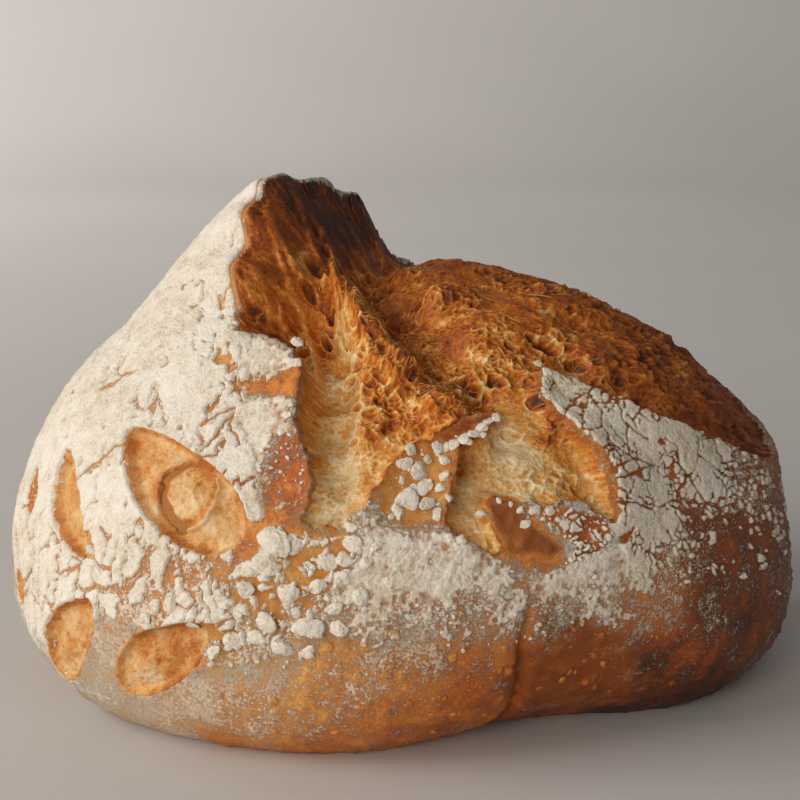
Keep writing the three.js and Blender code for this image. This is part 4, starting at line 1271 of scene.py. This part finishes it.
skins = [
    make_flour_skin("flour_left_high", LEFT_HIGH_SKIN, 0.38, 6.0, 2.6, -10, 0.28, 0.12, 31, gate=1.3),
    make_flour_skin("flour_left_low", LEFT_LOW_SKIN, 0.34, 6.0, 2.6, -10, 0.3, 0.13, 31, gate=1.3),
    # The flap's flour is drawn darker, as painted shade of the loaf's right side.
    make_flour_skin("flour_flap", FLAP_SKIN, 0.36, 5.0, 1.15, 20, 0.46, 0.16, 32, gate=1.6, painted_shade=0.5),
    make_flour_skin("flour_wedge", WEDGE_SKIN, 0.32, 3.4, 1.3, 50, 0.6, 0.2, 33),
    make_flour_skin("flour_stem", STEM_SKIN, 0.36, 6.6, 1.1, 0, 0.5, 0.4, 34, 0.56, 1.4),
    make_powder_skin("flour_brow", BROW_SKIN, 0.34, 131),
    make_powder_skin("flour_tongue", TONGUE_SKIN, 0.32, 151),
]


def get_attribute(piece, name):
    values = np.empty(len(piece.data.vertices))
    piece.data.attributes[name].data.foreach_get("value", values)
    return values


# Under the cracked skins the crust is bare, golden under the left one and darker elsewhere.
bare_flour = np.ones(len(places))
reach = skin_reach(places)
for outline in (LEFT_HIGH_SKIN, LEFT_LOW_SKIN, FLAP_SKIN, WEDGE_SKIN, STEM_SKIN):
    bare_flour *= 1 - smooth_step(0.8 * reach, 1.4 * reach, -distance_to(np.array(outline, float), places))
flour_values = get_attribute(crust, "flour")
set_attribute(crust, "flour", flour_values * bare_flour)
on_left = smooth_step(-30, -50, places[:, 0])
for layer_name, shift in (("dust", -0.7 + 0.5 * on_left), ("toast", 0.12 - 0.2 * on_left)):
    shift = shift * (1 - bare_flour) * smooth_step(0.7, 0.9, flour_values)
    set_attribute(crust, layer_name, get_attribute(crust, layer_name) + shift)

# Dried flour: dead matt and off-white, gritty, a little grey and brown in its cracks.
dried_flour = new_material("dried_flour")
spot = add_node(dried_flour, "TexCoord", output="Object")
plate_tone = add_node(dried_flour, "Attribute", output="Fac", attribute_name="plate_tone")
rise = add_node(dried_flour, "Attribute", output="Fac", attribute_name="rise")
mottle = add_node(dried_flour, "TexNoise", {"Vector": spot, "Scale": 260, "Detail": 4, "Roughness": 0.6})
grain = add_node(dried_flour, "TexNoise", {"Vector": spot, "Scale": 1300, "Detail": 3, "Roughness": 0.7})
level = add_patterns(dried_flour, mottle, ((plate_tone, 0.25), (grain, 1.4)))
level = add_node(dried_flour, "Math", {0: level, 1: 0.7}, operation="SUBTRACT")
coloured = add_node(dried_flour, "ValToRGB", {"Fac": level}, [
    (0.1, "#a8926f"), (0.35, "#d4c6ae"), (0.6, "#e6dccb"), (0.85, "#f0e9de"),
])
foot = add_node(dried_flour, "MapRange", {"Value": rise, "From Min": 0.0, "From Max": 0.45})
inputs = {0: foot, 6: linear("#a9713c"), 7: coloured}
coloured = add_node(dried_flour, "Mix", inputs, output=2, data_type="RGBA")
raised = add_patterns(dried_flour, mottle, ((grain, 0.9),))
bump = add_node(dried_flour, "Bump", {"Height": raised, "Distance": 0.0008, "Strength": 0.8})
surface = add_node(dried_flour, "BsdfPrincipled", {"Base Color": coloured, "Roughness": 0.96, "Normal": bump})
add_node(dried_flour, "OutputMaterial", {"Surface": surface})
for piece in skins:
    piece.data.materials.append(dried_flour)
    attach(piece, "root")
    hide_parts("loaf")

# ---------------------------------------------------------------------------- the flour clumps
# Lumps of dried flour on the stem, the island and the front: cracked free all round, chunky
# as little stones, stuck to the skin by their undersides.

# Place, then length across in mm.
CLUMPS = [
    (-32, -45.5, 9.6), (-27.3, -47, 5.0), (-35, -51.5, 8.4), (-41, -52, 6.0), (-41, -57, 6.0),
    (-36, -66, 6.6), (-30, -60, 6.6), (-19, -52, 6.0), (-15, -51.5, 4.8), (-12, -48, 5.4),
    (-15, -56, 6.0), (-22, -58, 5.4), (-11, -61, 5.4), (-25, -68, 7.2), (-33, -73, 6.0), (-44, -63, 4.8),
    (-46, -70, 6.0), (-39, -70, 4.8), (-28, -64, 4.2), (-18, -64, 4.8), (-24, -53, 3.6), (-9, -53, 4.2),
    (-6, -48.5, 3.6), (-20, -47, 2.9), (-13, -43.5, 3.0), (-48, -58, 4.2), (-26, -75, 4.8),
    (-16, -70, 4.8), (-52, -72, 4.8), (1, -26, 4.6), (3.2, -22.5, 3.8), (10.5, -22, 4.2), (5.5, -28, 5.6),
    (7, -32.5, 4.8), (11.2, -33, 3.8), (12.4, -29.5, 3.8), (2, -36.2, 7.4), (4.4, -34.2, 4.2),
    (7.5, -37, 4.2), (10.4, -39.5, 3.2), (-1, -39, 3.6), (0.5, -31, 2.6), (12.4, -25.5, 3.4),
    (8, -25, 3.0), (13.2, -35.6, 2.6), (12.8, -21.4, 3.4), (15, -20.3, 3.6), (17.6, -18.8, 4.2),
    (20.2, -17.2, 3.8), (22.6, -15.2, 3.8), (25, -13.2, 3.6), (27, -11.6, 3.2), (19, -20, 2.4),
    (23, -17.4, 2.2), (22, -39.6, 2.6), (30.5, -36.2, 1.8), (33.4, -37.2, 2.2), (27.5, -35.4, 1.6),
    (37, -37, 3.4), (41, -36.6, 3.4), (35, -41, 3.0), (16.5, -46.6, 3.4), (-7, -42.5, 2.2),
    (-2.5, -41, 2.6), (43, 5.5, 4.4), (41.6, 1.5, 3.6), (42.4, -3, 3.4), (45, -7, 3.2), (40.3, 8.3, 2.6),
    (-29, 12.5, 4.0), (-28.5, 4.5, 3.6), (-29.5, -13, 3.0), (-31, -17, 3.2), (-62, -57, 5.4),
    (-70, -60, 4.8), (-57, -64, 5.4),
]


def round_ball(subdivisions):
    """The points and faces of a ball with a radius of one."""
    deselect_all()
    bpy.ops.mesh.primitive_ico_sphere_add(subdivisions=subdivisions, radius=1)
    ball = bpy.context.object
    points = get_points(ball) / 1000
    faces = np.array([list(face.vertices) for face in ball.data.polygons])
    bpy.data.meshes.remove(ball.data)
    return points, faces


BALL, PEBBLE = round_ball(4), round_ball(2)


def stone(shape, size, chance):
    """A chunky lump: a ball cut flat by random planes, then roughened."""
    planes = chance.normal(size=(9, 3))
    planes /= np.linalg.norm(planes, axis=1)[:, None]
    reach = chance.uniform(0.6, 1.0, 9)
    ratio = np.maximum(shape @ planes.T, 0.02) / reach
    radius = (np.sum(ratio**6, axis=1) + 0.35) ** (-1 / 6)
    shaped = shape * radius[:, None]
    offset = chance.uniform(0, 60, 3)
    curds = np.abs(noise(shaped + offset, 0.62, 5)) + 0.5 * np.abs(noise(shaped + offset, 0.3, 6))
    lobes = 1 + 0.26 * noise(shape + offset, 0.9, 9)
    crumbly = 1.1 - 0.22 * curds + 0.09 * rough(shaped + offset, 0.22, 2, 7)
    return shaped * (lobes * crumbly)[:, None] * size / 2


def lumps_on_crust(name, rows, shape, seed, flatness, sunk, make_lump):
    """One mesh of many lumps, each sunk a little into the crust it sits on, and the random
    draws to go on with."""
    chance = np.random.default_rng(seed)
    rows = np.array(rows, float)
    ball_points, ball_faces = shape
    middle, normal, way_across, way_up = crust_frame(rows[:, :2])
    points, faces = [], []
    for index, size in enumerate(rows[:, 2]):
        lump = make_lump(ball_points, size, chance)
        lump *= (chance.uniform(0.85, 1.15), chance.uniform(0.75, 1.0), flatness)
        spin = chance.uniform(0, 2 * math.pi)
        across = lump[:, 0] * math.cos(spin) - lump[:, 1] * math.sin(spin)
        up = lump[:, 0] * math.sin(spin) + lump[:, 1] * math.cos(spin)
        lift = lump[:, 2] + (0.5 - sunk) * size * flatness
        axes = (way_across[index], way_up[index], normal[index])
        shifts = (part[:, None] * axis for part, axis in zip((across, up, lift), axes))
        points.append(middle[index] + sum(shifts))
        faces.append(ball_faces + index * len(ball_points))
    piece = make_piece(name, np.concatenate(points), np.concatenate(faces).tolist())
    return piece, chance


def make_clumps(name, rows, shape, seed, flatness):
    """Clumps of dried flour."""
    piece, chance = lumps_on_crust(name, rows, shape, seed, flatness, CLUMP_SUNK, stone)
    set_attribute(piece, "plate_tone", np.repeat(chance.uniform(0.1, 0.7, len(rows)), len(shape[0])))
    set_attribute(piece, "rise", np.ones(len(piece.data.vertices)))
    piece.data.materials.append(dried_flour)
    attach(piece, "root")
    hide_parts("loaf")


def places_inside(chance, outline, count, tries_each, keep):
    """At most so many random places inside an outline that the test keeps."""
    outline = np.array(outline, float)
    tries = chance.uniform(outline.min(0), outline.max(0), (count * tries_each, 2))
    return tries[(distance_to(outline, tries) < 0) & keep(tries)][:count]


def strewn(chance, fields, keep, least, spread):
    """Random places in fields of an outline and a count, and a size in mm for each: few are
    large."""
    rows = []
    for outline, count in fields:
        spots = places_inside(chance, outline, count, 6, keep)
        rows += np.column_stack([spots, least + spread * chance.uniform(0, 1, len(spots)) ** 3]).tolist()
    return rows


CLUMP_FLATNESS, CLUMP_SUNK, CRUMB_FLATNESS = 0.34, 0.24, 0.7
make_clumps("flour_clumps", CLUMPS, BALL, 41, CLUMP_FLATNESS)

# Crumbs of the same flour, 0.5 to 1.8 mm, strewn over the stem, the island and the front.
FINGERS = [
    (-108, -36), (-70, -34), (-60, -42), (-62, -52), (-70, -60), (-86, -56), (-100, -52),
    (-118, -60), (-124, -44),
]
ISLAND_FOOT = [(-60, -52), (-46, -54), (-44, -62), (-52, -66), (-62, -62)]
BROW = [
    (-11, -48), (-2, -44.5), (7, -43.5), (12, -46), (17, -49), (24, -49), (32, -52), (38, -54),
    (30, -64), (8, -62), (-10, -60),
]
WEDGE = [(38, -38), (44, -37), (58, -40), (62, -50), (60, -60), (50, -56), (44, -44)]
CRUMB_FIELDS = [(STEM, 120), (WEDGE, 60), (BROW, 30), (ISLAND_FOOT, 30), (FINGERS, 60),
                ([(-40, -20), (-26, -14), (-24, -36), (-38, -40)], 60),
                ([(-60, -66), (-20, -62), (30, -60), (60, -62), (60, -72), (20, -76), (-60, -80)], 120)]
crumb_rows = strewn(
    np.random.default_rng(43), CRUMB_FIELDS,
    lambda tried: (burst_distance(tried) > 0.7) & (leaf_depth_inside(tried) < -1), 0.45, 1.3,
)
make_clumps("flour_crumbs", crumb_rows, PEBBLE, 44, CRUMB_FLATNESS)

# ---------------------------------------------------------------------------- the blisters
# Small blisters that gas raised in the skin low on the loaf: thin and smooth, baked and dusted
# like the crust round them.


def blister(shape, size, chance):
    """A low smooth dome with an uneven rim."""
    offset = chance.uniform(0, 60, 3)
    return shape * (1 + 0.22 * noise(shape + offset, 1.1, 8))[:, None] * size / 2


BLISTER_BAND = [
    (-66, -84), (-40, -80), (-10, -74), (30, -72), (52, -68), (75, -66), (98, -60), (104, -78),
    (80, -94), (50, -106), (10, -108), (-30, -106), (-62, -100),
]
BLISTER_SWARM = [(-24, -72), (-4, -70), (14, -74), (16, -90), (-8, -94), (-26, -88)]
BLISTER_FIELDS = [(BLISTER_BAND, 120), (BLISTER_SWARM, 40)]
BLISTER_FLATNESS, BLISTER_SUNK = 0.3, 0.42
blister_rows = strewn(np.random.default_rng(45), BLISTER_FIELDS, lambda tried: True, 0.9, 2.8)
crust_blisters, chance = lumps_on_crust(
    "crust_blisters", blister_rows, PEBBLE, 46, BLISTER_FLATNESS, BLISTER_SUNK, blister
)
around = blend(COVER, np.array(blister_rows)[:, :2], 4, 4)
for layer_name, value in (
    ("toast", around[:, 2] - 0.1), ("dust", 0.9 * around[:, 1]), ("gloss", 0), ("flour", 0), ("score", 0),
    ("score_depth", 0), ("stem", 0), ("torn", 0),
):
    values = value + chance.uniform(-0.08, 0.08, len(blister_rows))
    set_attribute(crust_blisters, layer_name, np.repeat(np.clip(values, 0, 1), len(PEBBLE[0])))
set_attribute(crust_blisters, "place", get_points(crust_blisters) / 1000)
crust_blisters.data.materials.append(baked_crust)
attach(crust_blisters, "root")
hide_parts("loaf")

# ---------------------------------------------------------------------------- the torn strands
# Gluten drawn out into threads as the loaf burst: a fine web over the open crumb, coarser
# strands on the crest and the ear, and a few stiff toasted hairs where they snapped.


def crumb_point(places):
    """Points on the torn crumb, in mm, and how brown it is there."""
    distance = burst_distance(places)
    tone = blend(CRUMB_TONE, places, 3, 2)[:, 0]
    relief = crumb_relief(places, distance, tone)[0]
    return crust_surface(places, crumb_height(places, distance) + relief * (distance < RELIEF_MARGIN)), tone


THREAD_STOPS, THREAD_SIDES = 9, 3


def make_strands(name, fields, seed):
    """One mesh of many strands. Each field gives an outline, how many strands, their length,
    thickness, lift, how far they stray from the run of the fibres, their curl, how many of
    them end free, and how much browner they are than the crumb, or paler below zero."""
    chance = np.random.default_rng(seed)
    rows = []
    for outline, count, length, width, lift, stray, curl, free, dark in fields:
        spots = places_inside(chance, outline, count, 8, lambda tried: burst_distance(tried) < -1.2)
        found = len(spots)
        rows.append(np.column_stack([
            spots,
            length * chance.uniform(0.5, 1.4, found),
            width * chance.uniform(0.7, 1.35, found),
            lift * chance.uniform(0.1, 1.0, found) ** 1.5,
            np.radians(stray) * chance.normal(size=found),
            np.full(found, curl),
            chance.uniform(0, 1, found) < free,
            dark + 0.07 * chance.normal(size=found),
        ]))
    rows = np.vstack(rows)
    spot = rows[:, :2]
    length, width, lift, stray, curl, free, dark = rows[:, 2:].T
    count = len(spot)
    path = np.zeros((count, THREAD_STOPS, 2))
    for stop in range(THREAD_STOPS):
        path[:, stop] = spot
        run = fibre_run(spot, 0, 0)
        turn = stray + curl * noise(spot, 3.2, seed + 3)
        heading = np.stack([
            run[:, 0] * np.cos(turn) - run[:, 1] * np.sin(turn),
            run[:, 0] * np.sin(turn) + run[:, 1] * np.cos(turn),
        ], 1)
        spot = spot + heading * (length / (THREAD_STOPS - 1))[:, None]
    points, tone = crumb_point(path.reshape(-1, 2))
    points = points.reshape(count, THREAD_STOPS, 3)
    outward = direction_from_chart(path.reshape(-1, 2)).reshape(count, THREAD_STOPS, 3)
    # A strand hangs over the small hollows instead of following each of them.
    smooth = points.copy()
    for _ in range(3):
        smooth[:, 1:-1] = 0.5 * smooth[:, 1:-1] + 0.25 * (smooth[:, :-2] + smooth[:, 2:])
    above = np.einsum("nks,nks->nk", points - smooth, outward)
    smooth += outward * np.maximum(above, 0)[..., None] * 0.6
    part = np.linspace(0, 1, THREAD_STOPS)
    arch = np.where(free[:, None], 1.6 * part**1.3, np.sin(np.pi * part)) * lift[:, None]
    smooth += outward * (arch + 0.25 * width[:, None] - 0.35 * (part == 0))[..., None]
    ends = np.where(free[:, None], 1 - 0.85 * part, 0.45 + 0.55 * np.sin(np.pi * part))
    radius = width[:, None] / 2 * ends
    ahead = np.gradient(smooth, axis=1)
    ahead /= np.maximum(np.linalg.norm(ahead, axis=2), 1e-9)[..., None]
    beside = np.cross(ahead, outward)
    beside /= np.maximum(np.linalg.norm(beside, axis=2), 1e-9)[..., None]
    top = np.cross(beside, ahead)
    rings = []
    for side in range(THREAD_SIDES):
        angle = 2 * math.pi * side / THREAD_SIDES + math.pi / 2
        rings.append(smooth + radius[..., None] * (math.cos(angle) * beside + math.sin(angle) * top))
    corners = np.stack(rings, 2).reshape(-1, 3)
    first = (np.arange(count) * THREAD_STOPS * THREAD_SIDES)[:, None, None]
    stop = (np.arange(THREAD_STOPS - 1) * THREAD_SIDES)[None, :, None]
    side = np.arange(THREAD_SIDES)[None, None, :]
    after = (side + 1) % THREAD_SIDES
    base = first + stop
    quads = np.stack([base + side, base + after, base + THREAD_SIDES + after, base + THREAD_SIDES + side], -1)
    start_cap = first[:, 0] + np.arange(THREAD_SIDES)[::-1]
    end_cap = first[:, 0] + (THREAD_STOPS - 1) * THREAD_SIDES + np.arange(THREAD_SIDES)
    faces = quads.reshape(-1, 4).tolist() + start_cap.tolist() + end_cap.tolist()
    piece = make_piece(name, corners, faces)
    # Most strands are drawn paler than the crumb under them: partly their own paler colour, partly painted
    # light.
    tone = np.clip(tone.reshape(count, THREAD_STOPS) + dark[:, None], 0, 1)
    set_attribute(piece, "tone", np.repeat(tone.ravel(), THREAD_SIDES))
    piece.data.materials.append(torn_crumb)
    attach(piece, "root")
    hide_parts("loaf")


VALLEY = [
    (-27, -42), (-12, -42), (-4, -28), (0, -20), (8, -16), (0, 2), (-10, 18), (-16, 36), (-26, 36),
    (-28, 10), (-25, -20),
]
RIDGE = [
    (2, -18), (14, -10), (24, -13), (26, -6), (10, 12), (0, 26), (-10, 46), (-22, 48), (-18, 36),
    (-8, 14), (-2, -2),
]
SECOND_VALLEY = [(10, 8), (26, -10), (32, -10), (22, 8), (8, 34), (-6, 60), (-14, 54), (-4, 40)]
TEAR = [(13, -24), (22, -18), (30, -14), (30, -24), (26, -36), (22, -44), (15, -42), (13, -34)]
PALE_CRUMB = [(28, -34), (60, -36), (57, -22), (46, -10), (40, 6), (60, 14), (40, 22), (20, 18), (30, -4)]
DOME = [
    (0, 40), (20, 20), (60, 12), (90, 8), (120, 10), (126, 40), (110, 90), (80, 130), (40, 148),
    (10, 130), (0, 100), (-8, 60),
]
CREST_TOP = [(x - 2.5, y - 1.5) for x, y, _ in CREST] + [(x + 2.5, y + 2.5) for x, y, _ in CREST[::-1]]
EAR_TIP = [(-38, 60), (-30, 80), (-18, 98), (-8, 112), (-5, 108), (-14, 92), (-26, 74), (-32, 58)]

make_strands("crumb_threads", [
    (VALLEY, 200, 3.4, 0.20, 0.3, 60, 1.6, 0.02, -0.2),
    (TEAR, 120, 5.0, 0.20, 0.3, 22, 0.8, 0.04, -0.18),
    (PALE_CRUMB, 160, 3.6, 0.22, 0.30, 50, 1.4, 0.02, -0.18),
    (SECOND_VALLEY, 80, 5.0, 0.24, 0.35, 30, 1.1, 0.04, -0.12),
], 151)
make_strands("crest_strands", [
    (RIDGE, 160, 3.0, 0.3, 0.7, 45, 1.6, 0.08, -0.2),
    (CREST_TOP, 160, 3.0, 0.42, 1.6, 50, 1.8, 0.25, -0.08),
    (EAR_TIP, 24, 2.6, 0.8, 1.6, 45, 1.6, 0.8, 0.0),
], 152)
make_strands("dome_strands", [
    (DOME, 140, 7.0, 0.42, 0.4, 24, 1.2, 0.02, -0.1),
], 153)

# ---------------------------------------------------------------------------- floor, light and camera
# A plain pale floor, one large soft light from the left and the front, and a camera level
# with the loaf's shoulder, as in the photograph.
FLOOR_WIDTH, FLOOR_FRONT, FLOOR_BACK, SWEEP_RADIUS, WALL_HEIGHT = 8.0, -3.0, 1.6, 0.9, 3.0
deselect_all()
bpy.ops.mesh.primitive_plane_add(size=2, location=(0, 0, 0))
floor = bpy.context.object
floor.name = "floor"
SWEEP_STEPS = 16
sweep = [(FLOOR_FRONT, 0.0)]
for step in range(SWEEP_STEPS + 1):
    angle = step / SWEEP_STEPS * math.pi / 2
    sweep.append((FLOOR_BACK + SWEEP_RADIUS * math.sin(angle), SWEEP_RADIUS * (1 - math.cos(angle))))
sweep.append((FLOOR_BACK + SWEEP_RADIUS, WALL_HEIGHT))
floor.data.clear_geometry()
floor.data.from_pydata(
    [(side * FLOOR_WIDTH / 2, y, z) for y, z in sweep for side in (-1, 1)], [],
    [(2 * row, 2 * row + 1, 2 * row + 3, 2 * row + 2) for row in range(len(sweep) - 1)],
)
floor.data.shade_smooth()
pale_floor = new_material("pale_matt_floor")
spot = add_node(pale_floor, "TexCoord", output="Object")
tint = add_node(pale_floor, "TexNoise", {"Vector": spot, "Scale": 2.0, "Detail": 2})
paint = add_node(pale_floor, "ValToRGB", {"Fac": tint}, [(0.3, "#c6c3c0"), (0.7, "#cdcac8")])
surface = add_node(pale_floor, "BsdfPrincipled", {"Base Color": paint, "Roughness": 0.8})
add_node(pale_floor, "OutputMaterial", {"Surface": surface})
floor.data.materials.append(pale_floor)

TARGET = np.array([-1.3, -0.3, 84.0])
VIEW_ELEVATION = math.radians(12)
VIEW_DISTANCE = 600
LENS_LENGTH, SENSOR_WIDTH = 85, 36
camera_data = bpy.data.cameras.new("camera")
camera_data.lens = LENS_LENGTH
camera_data.sensor_width = SENSOR_WIDTH
camera_data.dof.use_dof = False
camera = bpy.data.objects.new("camera", camera_data)
back = np.array([0, -math.cos(VIEW_ELEVATION), math.sin(VIEW_ELEVATION)])
camera.location = (TARGET + back * VIEW_DISTANCE) / 1000
camera.rotation_euler = (math.pi / 2 - VIEW_ELEVATION, 0, 0)
bpy.context.scene.collection.objects.link(camera)
bpy.context.scene.camera = camera


def soft_light(name, place, size, power, colour):
    """A square studio light that faces the loaf's middle."""
    light = bpy.data.lights.new(name, "AREA")
    light.size = size
    light.energy = power
    light.color = linear(colour)[:3]
    holder = bpy.data.objects.new(name, light)
    holder.location = place
    aim = np.array([0, 0, 0.07]) - np.array(place)
    flat = math.hypot(aim[0], aim[1])
    holder.rotation_euler = (math.atan2(flat, -aim[2]), 0, math.atan2(aim[1], aim[0]) - math.pi / 2)
    bpy.context.scene.collection.objects.link(holder)
    return holder


soft_light("window_light", (-1.15, -0.38, 0.66), 0.9, 10.5, "#fff9f1")
soft_light("front_light", (-0.6, -1.4, 0.42), 0.8, 10, "#fff7ec")
backdrop_light = soft_light("backdrop_light", (-1.6, 0.9, 1.0), 1.0, 34, "#fffaf6")
backdrop_light.rotation_euler = (math.radians(72), 0, math.radians(-28))
world = bpy.data.worlds.new("studio")
world.use_nodes = True
world.node_tree.nodes["Background"].inputs["Color"].default_value = linear("#d8d4d2")
world.node_tree.nodes["Background"].inputs["Strength"].default_value = 0.3
bpy.context.scene.world = world
bpy.context.scene.view_settings.view_transform = "Standard"
